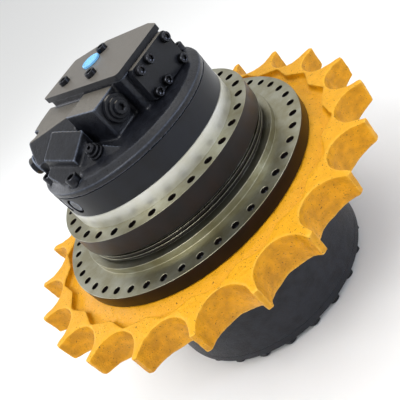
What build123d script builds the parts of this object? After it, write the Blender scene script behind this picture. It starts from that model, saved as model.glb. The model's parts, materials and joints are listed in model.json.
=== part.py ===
from build123d import *
from math import acos, atan2, cos, hypot, pi, radians, sin, tan
import os

# Travel drive of an excavator, standing on its end cover with the motor up.
# The turning axis is Z. Z = 0 is the frame flange's face, which bolts to the
# track frame. The spindle side stands still, the hub side turns about it.

# Frame flange, motor casing and the locating spigot at its foot
SPIGOT_R = 163.0
SPIGOT_L = 26.0
CASING_STEP = 1.5
CASING_L = 42.0
CASING_WALL = 33.5
FLANGE_T = 36.0
FLANGE_HOLES = 30
FLANGE_HOLE_R = 7.0
FLANGE_HOLE_INSET = 14.0
FLANGE_EDGE = 14.0
FLANGE_FIRST_HOLE_DEG = 10.0
SWASH_BORE_L = 80.0

# Spindle nose below the flange
BEARING_BORE_R = 110.0
SEAL_LAND_RISE = 22.0
SEAL_LAND_L = 34.0
BEARING_STOP_RISE = 14.0
BEARING_STOP_L = 10.0
NUT_THREAD_STEP = 10.0
NUT_WALL = 21.0
NUT_T = 14.0
NUT_SLOTS = 6
NUT_SLOT_W = 14.0
NUT_SLOT_DEPTH = 7.0
SPLINE_R = 70.0
SPINDLE_BORE_R = 40.0

# Main bearings, a pair of taper roller bearings back to back
INNER_RING_T = 8.9
OUTER_RING_T = 9.4
BEARING_W = 33.0
BEARING_GAP = 12.0
ROLLER_R = 9.6
ROLLER_L = 23.0
ROLLER_TILT_DEG = 13.0
ROLLER_TAPER_DEG = 1.0
ROLLERS_PER_ROW = 20
HUB_SHOULDER_H = 8.5
HUB_MOUTH_STEP = 2.5

# Face seal between spindle and hub
SEAL_BORE_STEP = 14.5
SEAL_SEAT_DEPTH = 18.0
SEAL_RING_INNER_GAP = 6.0
SEAL_RING_OUTER_GAP = 5.0
SEAL_NOSE_T = 9.0
SEAL_RING_H = 22.0
SEAL_RIM_H = 5.0
LOAD_RING_INSET = 1.0
LOAD_RING_CHAMFER = 3.5

# Hub, its labyrinth collar and the flange that carries the sprocket
LABYRINTH_GAP = 3.0
COLLAR_H = 21.0
COLLAR_WALL = 20.0
COLLAR_RIB_W = 5.0
COLLAR_RIB_H = 4.5
COLLAR_RIBS = 2
LIP_W = 17.0
LIP_H = 12.0
HUB_FLANGE_T = 24.0
HUB_FLANGE_EDGE = 15.0
HUB_BARREL_L = 76.0

# Sprocket
SPROCKET_TEETH = 21
SPROCKET_PITCH_R = 322.3
CHAIN_BUSH_R = 31.3
SPROCKET_FIRST_TOOTH_DEG = 299.5
TOOTH_ABOVE_PITCH = 19.7
TOOTH_TIP_W = 13.0
TOOTH_NECK_W = 16.0
TOOTH_FRONT_RISE = 6.0
TOOTH_REAR_RISE = 14.0
WEB_T = 24.0
WEB_DISH = 8.0
PAD_POINT_GAP = 23.0
PAD_NOTCH_LIP = 8.0
SPROCKET_BOLTS = 44
SPROCKET_BOLT_INSET = 25.0
SPROCKET_FIRST_BOLT_DEG = 265.0
SPROCKET_BOLT_R = 6.5
SPROCKET_BOLT_ACROSS_FLATS = 21.0
SPROCKET_BOLT_HEAD_H = 9.0
SPROCKET_BOLT_END_RECESS = 5.0

# Ring gear and planet gears, two stages inside one ring gear
MODULE = 5.0
PRESSURE_DEG = 25.0
BACKLASH = 0.55
ADDENDUM = 4.5
DEDENDUM = 6.0
RING_TEETH = 66
RING_GEAR_L = 150.0
RING_BOLT_LAND = 19.0
RING_EDGE_LAND = 15.0
SUN_1_TEETH = 12
SUN_2_TEETH = 18
PLANETS = 3
GEAR_1_W = 34.0
GEAR_2_W = 52.0
PLANET_1_PIN_R = 18.0
PLANET_2_PIN_R = 22.0
CARRIER_1_T = 18.0
CARRIER_1_LAND = 8.5
CARRIER_2_T = 28.0
CARRIER_2_LAND = 13.0
WASHER_T = 5.0
WASHER_WALL = 14.0
STAGE_GAP = 4.0
PIN_END_STANDOUT = 1.5
SUN_1_STEM_R = 15.9
SUN_2_BORE_R = 20.0
SUN_2_HUB_STEP = 1.0

# End cover
COVER_RIM_T = 14.0
COVER_DOME_INSET = 20.0
COVER_DOME_SLOPE_W = 18.0
COVER_DOME_H = 14.0
COVER_POCKET_INSET = 12.5
COVER_POCKET_DEPTH = 10.0
COVER_BOLTS = 24
COVER_BOLT_R = 7.5
COVER_BOLT_ACROSS_FLATS = 24.0
COVER_BOLT_HEAD_H = 10.0
COVER_BOLT_GRIP = 16.0
OIL_PLUGS = 3
OIL_PLUG_INSET = 40.0
OIL_PLUG_R = 13.0
OIL_PLUG_HEAD_R = 18.0
OIL_PLUG_HEAD_H = 6.0
OIL_PLUG_RECESS = 8.0
OIL_PLUG_SOCKET_ACROSS_FLATS = 14.0
THRUST_PAD_R = 20.0

# Motor shaft and its bearings
SHAFT_R = 26.0
SHAFT_FRONT_R = 30.0
SHAFT_REAR_R = 22.0
SHAFT_SOCKET_L = 50.0
SHAFT_NOSE_L = 56.0
FRONT_BEARING_R = 62.0
FRONT_BEARING_W = 30.0
FRONT_ROLLERS = 14
FRONT_ROLLER_R = 5.0
SHAFT_SEAL_R = 45.0
SHAFT_SEAL_T = 12.0
REAR_BUSH_R = 30.0
REAR_BUSH_L = 22.0

# Axial piston group
PISTONS = 9
PISTON_CIRCLE_R = 53.0
PISTON_R = 11.0
PISTON_BALL_R = 8.5
PISTON_NECK_R = 6.0
PISTON_NECK_L = 3.0
PISTON_L = 50.0
PISTON_BORE_L = 62.0
PISTON_PORT_R = 6.0
SHOE_R = 14.5
SHOE_BODY_R = 11.0
SHOE_FLANGE_T = 5.0
SHOE_H = 15.0
RETAINER_T = 5.0
RETAINER_EDGE = 8.5
BLOCK_WALL = 16.0
BLOCK_L = 82.0
VALVE_PLATE_T = 6.0
VALVE_PLATE_EDGE = 4.0
KIDNEY_W = 12.0
KIDNEY_DEG = 130.0
SWASH_T = 34.0
SWASH_EDGE = 10.0
SWASH_BORE_GAP = 10.0
SWASH_HOLE_R = 36.0

# Parking brake
BRAKE_DISCS = 4
BRAKE_DISC_T = 4.0
BRAKE_DISC_GAP = 14.0
BRAKE_PLATE_T = 3.0
BRAKE_PLATE_GAP = 8.0
BRAKE_GAP = 0.35
BRAKE_PISTON_H = 20.0
BRAKE_PISTON_GAP = 12.0
BRAKE_SPRING_T = 4.0

# Rear cover with its valve block, turned about Z from the row axes
BLOCK_TURN_DEG = 29.5
REAR_RING_H = 10.0
REAR_SHOULDER_H = 8.0
REAR_SHOULDER_STEP = 12.5
VALVE_BLOCK_TOP = 147.0
SCREW_FACE = 97.0
BLOCK_NEAR_LEFT = -10.0
BLOCK_NEAR_RIGHT = 97.0
BLOCK_RIGHT = 107.0
BLOCK_RIGHT_FRONT = -70.0
BLOCK_RIGHT_BACK = 45.0
BLOCK_FAR = 121.0
BLOCK_FAR_RIGHT = 82.0
BLOCK_CORNER_R = 7.0
SHELF_TOP = 134.0
SHELF_STEP = 14.5
SHELF_SLOPE_DEG = 25.0
SHELF_EDGE_U = -52.0
SHELF_EDGE_Y = 48.0
SHELF_EDGE_TURN_DEG = 213.0
RECESS_LEFT = -82.0
RECESS_BACK = 10.0
BOSS_FACE = 70.0
BOSS_LEFT = -63.0
BOSS_TOP = 143.0
BOSS_CORNER_R = 5.0
SPOOL_U = -34.0
SPOOL_Z = 118.0
SPOOL_R = 12.0
SPOOL_LAND_L = 18.0
SPOOL_WAIST_R = 8.0
SPOOL_TRAVEL = 6.0
SPOOL_BORE_L = 150.0
SPOOL_PLUG_R = 15.0
SPOOL_PLUG_DEPTH = 20.0
SPOOL_COLLAR_R = 22.0
SPOOL_COLLAR_T = 7.0
SPOOL_HEX_ACROSS_FLATS = 30.0
SPOOL_HEX_H = 10.0
PORT_R = 16.0
PORT_L = 40.0
PORT_SPACING = 46.0

# Top plate, port cover and fittings on the valve block
TOP_PLATE_T = 10.0
TOP_PLATE_OVERHANG = 3.0
TOP_SCREW_POINTS = ((81.0, 29.0), (16.0, 79.0), (12.0, -8.0))
TOP_SCREW_R = 6.0
TOP_SCREW_HEAD_R = 9.5
TOP_SCREW_HEAD_H = 8.0
TOP_SCREW_GRIP = 25.0
SHIPPING_PLUG_U = 54.0
SHIPPING_PLUG_Y = 36.0
SHIPPING_PLUG_R = 13.0
SHIPPING_PLUG_HEAD_R = 17.0
SHIPPING_PLUG_HEAD_H = 5.0
SHIPPING_PLUG_DEPTH = 12.0
PORT_COVER_T = 12.0
PORT_COVER_LEFT = 2.0
PORT_COVER_RIGHT = 96.0
PORT_COVER_LOW = 87.0
PORT_COVER_HIGH = 146.0
PORT_SCREW_COLUMNS = (14.0, 39.0, 86.0)
PORT_SCREW_ROWS = (95.0, 137.0)
PORT_SCREW_R = 5.0
PORT_SCREW_HEAD_R = 8.0
PORT_SCREW_HEAD_H = 8.0
PORT_SCREW_GRIP = 20.0
RELIEF_VALVES = 2
RELIEF_Z = 104.5
RELIEF_FIRST_DEG = 104.0
RELIEF_STEP_DEG = 35.0
RELIEF_STEM_R = 12.0
RELIEF_STEM_L = 34.0
RELIEF_COLLAR_R = 17.0
RELIEF_COLLAR_T = 3.0
RELIEF_ACROSS_FLATS = 27.0
RELIEF_HEX_H = 9.0
GAUGE_PLUGS = 2
GAUGE_Z = 50.0
GAUGE_FIRST_DEG = 167.0
GAUGE_STEP_DEG = 12.0
GAUGE_SEAT_DEPTH = 10.5
GAUGE_POCKET_R = 15.0
GAUGE_STEM_R = 7.0
GAUGE_STEM_L = 18.0
GAUGE_ACROSS_FLATS = 22.0
GAUGE_HEAD_H = 9.0
REAR_BOLT_ANGLES_DEG = (335.0, 15.0, 45.0, 122.0, 156.0, 190.0)
REAR_BOLT_R = 7.0
REAR_BOLT_HEAD_R = 10.5
REAR_BOLT_HEAD_H = 14.0
REAR_BOLT_SEAT = 82.0
REAR_BOLT_GRIP = 14.0
SPOT_FACE_R = 13.0

# Clearances
PRESS = 0.02
RUNNING = 0.08
LOOSE = 0.4
BOLT_CLEARANCE = 0.5
THREAD_CLEARANCE = 0.05
SEAL_FACE_GAP = 0.3

# Radii of the motor casing and the frame flange
CASING_R = SPIGOT_R - CASING_STEP
BRAKE_BORE_R = CASING_R - CASING_WALL
REAR_BOLT_CIRCLE_R = (CASING_R + BRAKE_BORE_R) / 2
REAR_SHOULDER_R = CASING_R - REAR_SHOULDER_STEP
SHELF_R = CASING_R - SHELF_STEP
GAUGE_SEAT_R = CASING_R - GAUGE_SEAT_DEPTH
FLANGE_HOLE_CIRCLE_R = SPIGOT_R + FLANGE_HOLE_INSET
FLANGE_R = FLANGE_HOLE_CIRCLE_R + FLANGE_EDGE

# Radii of the spindle nose, its bearings and its seal
SEAL_LAND_R = BEARING_BORE_R + SEAL_LAND_RISE
BEARING_STOP_R = BEARING_BORE_R + BEARING_STOP_RISE
NUT_THREAD_R = BEARING_BORE_R - NUT_THREAD_STEP
NUT_R = NUT_THREAD_R + NUT_WALL
BEARING_MEAN_R = BEARING_BORE_R + INNER_RING_T + ROLLER_R
BEARING_OUTER_R = BEARING_MEAN_R + ROLLER_R + OUTER_RING_T
HUB_SHOULDER_R = BEARING_OUTER_R - HUB_SHOULDER_H
HUB_MOUTH_R = BEARING_OUTER_R + HUB_MOUTH_STEP
SEAL_BORE_R = BEARING_OUTER_R + SEAL_BORE_STEP
SEAL_RING_INNER_R = SEAL_LAND_R + SEAL_RING_INNER_GAP
SEAL_RING_OUTER_R = SEAL_BORE_R - SEAL_RING_OUTER_GAP
SEAL_NOSE_R = SEAL_RING_INNER_R + SEAL_NOSE_T
COLLAR_R = SEAL_BORE_R + COLLAR_WALL
COLLAR_RIB_R = COLLAR_R + COLLAR_RIB_W
LIP_R = COLLAR_R + LIP_W

# Radii of the gear train, the barrel round it and the sprocket on the barrel
PLANET_1_TEETH = (RING_TEETH - SUN_1_TEETH) // 2
PLANET_2_TEETH = (RING_TEETH - SUN_2_TEETH) // 2
PLANET_1_CIRCLE_R = MODULE * (SUN_1_TEETH + PLANET_1_TEETH) / 2
PLANET_2_CIRCLE_R = MODULE * (SUN_2_TEETH + PLANET_2_TEETH) / 2
CARRIER_1_R = PLANET_1_CIRCLE_R + PLANET_1_PIN_R + CARRIER_1_LAND
CARRIER_2_R = PLANET_2_CIRCLE_R + PLANET_2_PIN_R + CARRIER_2_LAND
SUN_2_HUB_R = MODULE * SUN_2_TEETH / 2 - DEDENDUM - SUN_2_HUB_STEP
RING_PITCH_R = MODULE * RING_TEETH / 2
COVER_BOLT_CIRCLE_R = RING_PITCH_R + DEDENDUM + RING_BOLT_LAND
HUB_BARREL_R = COVER_BOLT_CIRCLE_R + RING_EDGE_LAND
COVER_DOME_RIM_R = COVER_BOLT_CIRCLE_R - COVER_DOME_INSET
COVER_DOME_FACE_R = COVER_DOME_RIM_R - COVER_DOME_SLOPE_W
COVER_POCKET_R = RING_PITCH_R - ADDENDUM - COVER_POCKET_INSET
OIL_PLUG_CIRCLE_R = COVER_DOME_FACE_R - OIL_PLUG_INSET
SPROCKET_BOLT_CIRCLE_R = HUB_BARREL_R + SPROCKET_BOLT_INSET
HUB_FLANGE_R = SPROCKET_BOLT_CIRCLE_R + HUB_FLANGE_EDGE
PAD_POINT_R = HUB_FLANGE_R + PAD_POINT_GAP
SPROCKET_TIP_R = SPROCKET_PITCH_R + TOOTH_ABOVE_PITCH

# Radii of the piston group and the brake round it
BLOCK_R = PISTON_CIRCLE_R + PISTON_R + BLOCK_WALL
RETAINER_R = PISTON_CIRCLE_R + SHOE_R + RETAINER_EDGE
VALVE_PLATE_R = BLOCK_R + VALVE_PLATE_EDGE
SWASH_R = BLOCK_R + SWASH_EDGE
SWASH_BORE_R = SWASH_R + SWASH_BORE_GAP
BRAKE_DISC_OUTER_R = BRAKE_BORE_R - BRAKE_DISC_GAP
BRAKE_PLATE_INNER_R = BLOCK_R + BRAKE_PLATE_GAP
BRAKE_PISTON_INNER_R = BLOCK_R + BRAKE_PISTON_GAP
FRONT_ROLLER_CIRCLE_R = (SHAFT_FRONT_R + FRONT_BEARING_R) / 2

# Heights of the stack below the frame flange's face
FLANGE_FACE = 0.0
FLANGE_BACK = FLANGE_FACE - FLANGE_T
COLLAR_TOP = FLANGE_BACK - LABYRINTH_GAP
LIP_TOP = COLLAR_TOP - COLLAR_H
HUB_FLANGE_TOP = LIP_TOP - LIP_H
WEB_FRONT = HUB_FLANGE_TOP - HUB_FLANGE_T
WEB_REAR = WEB_FRONT - WEB_T
HUB_END = WEB_FRONT - HUB_BARREL_L
COVER_SEAT = HUB_END - RING_GEAR_L
COVER_RIM_FACE = COVER_SEAT - COVER_RIM_T
COVER_FACE = COVER_RIM_FACE - COVER_DOME_H
SEAL_LAND_END = FLANGE_BACK - SEAL_LAND_L
UPPER_BEARING_TOP = SEAL_LAND_END - BEARING_STOP_L
UPPER_BEARING_END = UPPER_BEARING_TOP - BEARING_W
LOWER_BEARING_TOP = UPPER_BEARING_END - BEARING_GAP
LOWER_BEARING_END = LOWER_BEARING_TOP - BEARING_W
NUT_END = LOWER_BEARING_END - NUT_T
CARRIER_2_END = NUT_END - CARRIER_2_T
GEAR_2_TOP = CARRIER_2_END - WASHER_T - 2 * LOOSE
GEAR_2_END = GEAR_2_TOP - GEAR_2_W
CARRIER_1_TOP = GEAR_2_END - STAGE_GAP
CARRIER_1_END = CARRIER_1_TOP - CARRIER_1_T
GEAR_1_TOP = CARRIER_1_END - WASHER_T - 2 * LOOSE
GEAR_1_END = GEAR_1_TOP - GEAR_1_W
SEAL_FACE = (COLLAR_TOP + FLANGE_BACK) / 2 - SEAL_RING_H / 2
SEAL_ROOF = FLANGE_BACK + SEAL_SEAT_DEPTH
SEAL_FLOOR = 2 * SEAL_FACE - SEAL_ROOF

# Heights inside the motor, above and below the frame flange's face
CASING_TOP = FLANGE_FACE + SPIGOT_L + CASING_L
SWASH_FLOOR = FLANGE_FACE - SWASH_BORE_L
FRONT_BEARING_END = SWASH_FLOOR - FRONT_BEARING_W
SHAFT_SEAL_END = FRONT_BEARING_END - SHAFT_SEAL_T
SHAFT_END = SHAFT_SEAL_END - SHAFT_NOSE_L
SWASH_FACE = SWASH_FLOOR + SWASH_T
BLOCK_TOP = CASING_TOP - VALVE_PLATE_T - RUNNING
BLOCK_BOTTOM = BLOCK_TOP - BLOCK_L
BALL_Z = SWASH_FACE + LOOSE + SHOE_H - PISTON_BALL_R / 2
REAR_RING_TOP = CASING_TOP + REAR_RING_H
REAR_SHOULDER_TOP = REAR_RING_TOP + REAR_SHOULDER_H
TOP_PLATE_TOP = VALVE_BLOCK_TOP + TOP_PLATE_T
ROOT_3 = 3 ** 0.5


def polar(radius, angle):
    """Point at a radius and an angle in radians."""
    return (radius * cos(angle), radius * sin(angle))


def tooth_half_angle(teeth, radius, thickening):
    """Half the angle that an involute tooth takes up at a radius."""
    pitch_r = MODULE * teeth / 2
    base_r = pitch_r * cos(radians(PRESSURE_DEG))

    def involute(at):
        pressure = acos(min(1.0, base_r / at))
        return tan(pressure) - pressure

    half = (pi * MODULE / 2 + thickening) / (2 * pitch_r)
    return half + involute(pitch_r) - involute(radius)


def gear_edges(teeth, root_r, tip_r, thickening, first_tooth):
    """Draw the closed outline of a spur gear in the current line."""
    base_r = MODULE * teeth / 2 * cos(radians(PRESSURE_DEG))
    form_r = max(root_r, base_r)
    radii = (form_r, (form_r + tip_r) / 2, tip_r)
    halves = [tooth_half_angle(teeth, radius, thickening) for radius in radii]
    for tooth in range(teeth):
        middle = first_tooth + 2 * pi * tooth / teeth
        rise = [polar(r, middle - half) for r, half in zip(radii, halves)]
        fall = [polar(r, middle + half) for r, half in zip(radii, halves)]
        foot_in = polar(root_r, middle - halves[0])
        foot_out = polar(root_r, middle + halves[0])
        next_foot = polar(root_r, middle + 2 * pi / teeth - halves[0])
        if form_r > root_r:
            Line(foot_in, rise[0])
            Line(fall[0], foot_out)
        ThreePointArc(*rise)
        Line(rise[2], fall[2])
        ThreePointArc(fall[2], fall[1], fall[0])
        Line(foot_out, next_foot)


def spur_gear(teeth, bore_r, bottom, top, centre, first_tooth):
    """External spur gear with a plain bore, standing at a centre point."""
    pitch_r = MODULE * teeth / 2
    seat = Plane(origin=(centre[0], centre[1], bottom))
    with BuildPart() as gear:
        with BuildSketch(seat):
            with BuildLine():
                gear_edges(teeth, pitch_r - DEDENDUM, pitch_r + ADDENDUM, -BACKLASH / 2, first_tooth)
            make_face()
            if bore_r:
                Circle(bore_r, mode=Mode.SUBTRACT)
        extrude(amount=top - bottom)
    return gear.part


def planet_angles(index, sun_teeth, planet_teeth):
    """Angle of a planet round the axis, and of its first tooth when in mesh."""
    around = 2 * pi * index / PLANETS
    return around, around * (1 + sun_teeth / planet_teeth)


def block_plane(height):
    """Level plane turned with the valve block: x to its right, y to its back."""
    turn = radians(BLOCK_TURN_DEG)
    return Plane(origin=(0, 0, height), x_dir=(cos(turn), sin(turn), 0), z_dir=(0, 0, 1))


def block_face_plane(y):
    """Upright plane facing the block's front: x to its right, y up."""
    turn = radians(BLOCK_TURN_DEG)
    right = (cos(turn), sin(turn), 0)
    front = (sin(turn), -cos(turn), 0)
    return Plane(origin=(front[0] * -y, front[1] * -y, 0), x_dir=right, z_dir=front)


def radial_plane(radius, angle_deg, height):
    """Plane facing outward from the axis, with its origin at a radius."""
    angle = radians(BLOCK_TURN_DEG + angle_deg)
    out = (cos(angle), sin(angle), 0)
    return Plane(origin=(radius * out[0], radius * out[1], height), x_dir=(-out[1], out[0], 0), z_dir=out)


def rear_bolt_plane(angle_deg, height):
    """Level plane on the axis of one rear cover bolt."""
    spot = polar(REAR_BOLT_CIRCLE_R, radians(BLOCK_TURN_DEG + angle_deg))
    return Plane(origin=(spot[0], spot[1], height))


def race_r(side, reach, offset):
    """Radius of a bearing race at a distance from the roller's middle towards its large end.

    The side is -1 for the inner race and 1 for the outer one.
    """
    slope = tan(radians(ROLLER_TILT_DEG + side * ROLLER_TAPER_DEG))
    return BEARING_MEAN_R + reach * slope + side * offset / cos(radians(ROLLER_TILT_DEG))


def race_corners(side, wall_r, large_end, small_end):
    """Section of one bearing ring between its cylindrical wall and its tapered race."""
    half = BEARING_W / 2
    offset = ROLLER_R + LOOSE
    return (
        (wall_r, large_end),
        (race_r(side, half, offset), large_end),
        (race_r(side, -half, offset), small_end),
        (wall_r, small_end),
    )


def save(part, label):
    """Label a finished piece and write it to its own file."""
    part.label = label
    export_step(part, f"parts/{label}.step")


os.makedirs("parts", exist_ok=True)

# Spindle: frame flange and nose in one casting, bored for the swash plate and the shaft
with BuildPart() as spindle_housing:
    with BuildSketch(Plane.XZ):
        Polygon(
            (SPINDLE_BORE_R, CARRIER_2_END),
            (SPLINE_R, CARRIER_2_END),
            (SPLINE_R, NUT_END),
            (NUT_THREAD_R, NUT_END),
            (NUT_THREAD_R, LOWER_BEARING_END),
            (BEARING_BORE_R, LOWER_BEARING_END),
            (BEARING_BORE_R, UPPER_BEARING_TOP),
            (BEARING_STOP_R, UPPER_BEARING_TOP),
            (BEARING_STOP_R, SEAL_LAND_END),
            (SEAL_LAND_R, SEAL_LAND_END),
            (SEAL_LAND_R, SEAL_ROOF),
            (SEAL_BORE_R, SEAL_ROOF),
            (SEAL_BORE_R, FLANGE_BACK),
            (FLANGE_R, FLANGE_BACK),
            (FLANGE_R, FLANGE_FACE),
            (SWASH_BORE_R, FLANGE_FACE),
            (SWASH_BORE_R, SWASH_FLOOR),
            (FRONT_BEARING_R, SWASH_FLOOR),
            (FRONT_BEARING_R, FRONT_BEARING_END),
            (SHAFT_SEAL_R, FRONT_BEARING_END),
            (SHAFT_SEAL_R, SHAFT_SEAL_END),
            (SPINDLE_BORE_R, SHAFT_SEAL_END),
        )
    revolve(axis=Axis.Z)
    with BuildSketch(Plane.XY.offset(FLANGE_FACE)):
        with PolarLocations(FLANGE_HOLE_CIRCLE_R, FLANGE_HOLES, start_angle=FLANGE_FIRST_HOLE_DEG):
            Circle(FLANGE_HOLE_R)
    extrude(amount=-FLANGE_T, mode=Mode.SUBTRACT)
    for angle in REAR_BOLT_ANGLES_DEG:
        with BuildSketch(rear_bolt_plane(angle, FLANGE_FACE)):
            Circle(REAR_BOLT_R + THREAD_CLEARANCE)
        extrude(amount=-REAR_BOLT_GRIP, mode=Mode.SUBTRACT)
save(spindle_housing.part, "spindle_housing")

# Motor casing: the ring round the brake, turned at its foot to the spigot that the frame centres on
with BuildPart() as motor_casing:
    with BuildSketch(Plane.XZ):
        Polygon(
            (BRAKE_BORE_R, FLANGE_FACE),
            (SPIGOT_R, FLANGE_FACE),
            (SPIGOT_R, FLANGE_FACE + SPIGOT_L),
            (CASING_R, FLANGE_FACE + SPIGOT_L),
            (CASING_R, CASING_TOP),
            (BRAKE_BORE_R, CASING_TOP),
        )
    revolve(axis=Axis.Z)
    for gauge in range(GAUGE_PLUGS):
        gauge_seat = radial_plane(GAUGE_SEAT_R, GAUGE_FIRST_DEG + gauge * GAUGE_STEP_DEG, GAUGE_Z)
        with BuildSketch(gauge_seat):
            Circle(GAUGE_POCKET_R)
        extrude(amount=GAUGE_POCKET_R, mode=Mode.SUBTRACT)
        with BuildSketch(gauge_seat):
            Circle(GAUGE_STEM_R + THREAD_CLEARANCE)
        extrude(amount=-GAUGE_STEM_L, mode=Mode.SUBTRACT)
    for angle in REAR_BOLT_ANGLES_DEG:
        with BuildSketch(rear_bolt_plane(angle, FLANGE_FACE)):
            Circle(REAR_BOLT_R + BOLT_CLEARANCE)
        extrude(amount=CASING_TOP - FLANGE_FACE, mode=Mode.SUBTRACT)
save(motor_casing.part, "motor_casing")

# Rear cover: round seat and shoulder, valve block, sloping shelf and spool boss in one casting
valve_block_corners = (
    (BLOCK_NEAR_LEFT, -SCREW_FACE),
    (BLOCK_NEAR_RIGHT, -SCREW_FACE),
    (BLOCK_RIGHT, BLOCK_RIGHT_FRONT),
    (BLOCK_RIGHT, BLOCK_RIGHT_BACK),
    (BLOCK_FAR_RIGHT, BLOCK_FAR),
    (BLOCK_NEAR_LEFT, BLOCK_FAR),
)
slope_turn = radians(BLOCK_TURN_DEG + SHELF_EDGE_TURN_DEG)
slope_tilt = radians(SHELF_SLOPE_DEG)
slope_plane = Plane(
    origin=block_plane(SHELF_TOP).from_local_coords((SHELF_EDGE_U, SHELF_EDGE_Y, 0)),
    z_dir=(cos(slope_turn) * sin(slope_tilt), sin(slope_turn) * sin(slope_tilt), cos(slope_tilt)),
)
with BuildPart() as rear_cover:
    with BuildSketch(block_plane(REAR_RING_TOP)):
        Circle(SHELF_R)
        with Locations((BLOCK_NEAR_LEFT + BLOCK_CORNER_R, 0)):
            Rectangle(2 * SHELF_R, 2 * SHELF_R, align=(Align.MAX, Align.CENTER), mode=Mode.INTERSECT)
        with Locations((RECESS_LEFT, RECESS_BACK)):
            Rectangle(SHELF_R, 2 * SHELF_R, align=(Align.MIN, Align.MAX), mode=Mode.SUBTRACT)
    extrude(amount=SHELF_TOP - REAR_RING_TOP)
    split(bisect_by=slope_plane, keep=Keep.BOTTOM)
    with BuildSketch(Plane.XZ):
        Polygon(
            (0, CASING_TOP),
            (CASING_R, CASING_TOP),
            (CASING_R, REAR_RING_TOP),
            (REAR_SHOULDER_R, REAR_SHOULDER_TOP),
            (0, REAR_SHOULDER_TOP),
        )
    revolve(axis=Axis.Z)
    with BuildSketch(block_plane(REAR_RING_TOP)) as valve_block:
        Polygon(*valve_block_corners)
        fillet(valve_block.vertices(), BLOCK_CORNER_R)
    extrude(amount=VALVE_BLOCK_TOP - REAR_RING_TOP)
    with BuildSketch(block_plane(REAR_RING_TOP)) as boss:
        Polygon(
            (BOSS_LEFT, -BOSS_FACE),
            (BLOCK_NEAR_LEFT + BLOCK_CORNER_R, -BOSS_FACE),
            (BLOCK_NEAR_LEFT + BLOCK_CORNER_R, 0),
            (BOSS_LEFT, 0),
        )
        fillet(boss.vertices().group_by(Axis.Y)[0], BOSS_CORNER_R)
    extrude(amount=BOSS_TOP - REAR_RING_TOP)
    with BuildSketch(Plane.XY.offset(CASING_TOP)):
        Circle(REAR_BUSH_R)
    extrude(amount=REAR_BUSH_L, mode=Mode.SUBTRACT)
    with BuildSketch(block_face_plane(-BOSS_FACE)):
        with Locations((SPOOL_U, SPOOL_Z)):
            Circle(SPOOL_R + RUNNING)
    extrude(amount=-SPOOL_BORE_L, mode=Mode.SUBTRACT)
    with BuildSketch(block_face_plane(-BOSS_FACE)):
        with Locations((SPOOL_U, SPOOL_Z)):
            Circle(SPOOL_PLUG_R + THREAD_CLEARANCE)
    extrude(amount=-SPOOL_PLUG_DEPTH, mode=Mode.SUBTRACT)
    port_u = (PORT_COVER_LEFT + PORT_COVER_RIGHT) / 2
    port_z = (PORT_COVER_LOW + PORT_COVER_HIGH) / 2
    with BuildSketch(block_face_plane(-SCREW_FACE)):
        with Locations((port_u - PORT_SPACING / 2, port_z), (port_u + PORT_SPACING / 2, port_z)):
            Circle(PORT_R)
    extrude(amount=-PORT_L, mode=Mode.SUBTRACT)
    with BuildSketch(block_face_plane(-SCREW_FACE)):
        with Locations(*[(u, z) for u in PORT_SCREW_COLUMNS for z in PORT_SCREW_ROWS]):
            Circle(PORT_SCREW_R + THREAD_CLEARANCE)
    extrude(amount=-PORT_SCREW_GRIP, mode=Mode.SUBTRACT)
    with BuildSketch(block_plane(VALVE_BLOCK_TOP)):
        with Locations(*TOP_SCREW_POINTS):
            Circle(TOP_SCREW_R + THREAD_CLEARANCE)
    extrude(amount=-TOP_SCREW_GRIP, mode=Mode.SUBTRACT)
    with BuildSketch(block_plane(VALVE_BLOCK_TOP)):
        with Locations((SHIPPING_PLUG_U, SHIPPING_PLUG_Y)):
            Circle(SHIPPING_PLUG_R + RUNNING)
    extrude(amount=-SHIPPING_PLUG_DEPTH, mode=Mode.SUBTRACT)
    for angle in REAR_BOLT_ANGLES_DEG:
        with BuildSketch(rear_bolt_plane(angle, CASING_TOP)):
            Circle(REAR_BOLT_R + BOLT_CLEARANCE)
        extrude(amount=REAR_BOLT_SEAT - CASING_TOP, mode=Mode.SUBTRACT)
        with BuildSketch(rear_bolt_plane(angle, REAR_BOLT_SEAT)):
            Circle(SPOT_FACE_R)
        extrude(amount=VALVE_BLOCK_TOP - REAR_BOLT_SEAT, mode=Mode.SUBTRACT)
    for valve in range(RELIEF_VALVES):
        with BuildSketch(radial_plane(SHELF_R, RELIEF_FIRST_DEG + valve * RELIEF_STEP_DEG, RELIEF_Z)):
            Circle(RELIEF_STEM_R + THREAD_CLEARANCE)
        extrude(amount=-RELIEF_STEM_L, mode=Mode.SUBTRACT)
save(rear_cover.part, "rear_cover")

# Long bolts that clamp the rear cover and the casing to the spindle
with BuildPart() as rear_cover_bolts:
    for angle in REAR_BOLT_ANGLES_DEG:
        with BuildSketch(rear_bolt_plane(angle, REAR_BOLT_SEAT)):
            Circle(REAR_BOLT_HEAD_R)
        extrude(amount=REAR_BOLT_HEAD_H)
        with BuildSketch(rear_bolt_plane(angle, REAR_BOLT_SEAT)):
            Circle(REAR_BOLT_R)
        extrude(amount=FLANGE_FACE - REAR_BOLT_GRIP - REAR_BOLT_SEAT)
save(rear_cover_bolts.part, "rear_cover_bolts")

# Top plate on the valve block, its screws and the plastic shipping plug
with BuildPart() as top_plate:
    with BuildSketch(block_plane(VALVE_BLOCK_TOP)) as plate:
        Polygon(*valve_block_corners)
        offset(amount=TOP_PLATE_OVERHANG, kind=Kind.INTERSECTION)
        fillet(plate.vertices(), BLOCK_CORNER_R)
        with Locations(*TOP_SCREW_POINTS):
            Circle(TOP_SCREW_R + BOLT_CLEARANCE, mode=Mode.SUBTRACT)
        with Locations((SHIPPING_PLUG_U, SHIPPING_PLUG_Y)):
            Circle(SHIPPING_PLUG_R + RUNNING, mode=Mode.SUBTRACT)
    extrude(amount=TOP_PLATE_T)
save(top_plate.part, "top_plate")

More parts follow.
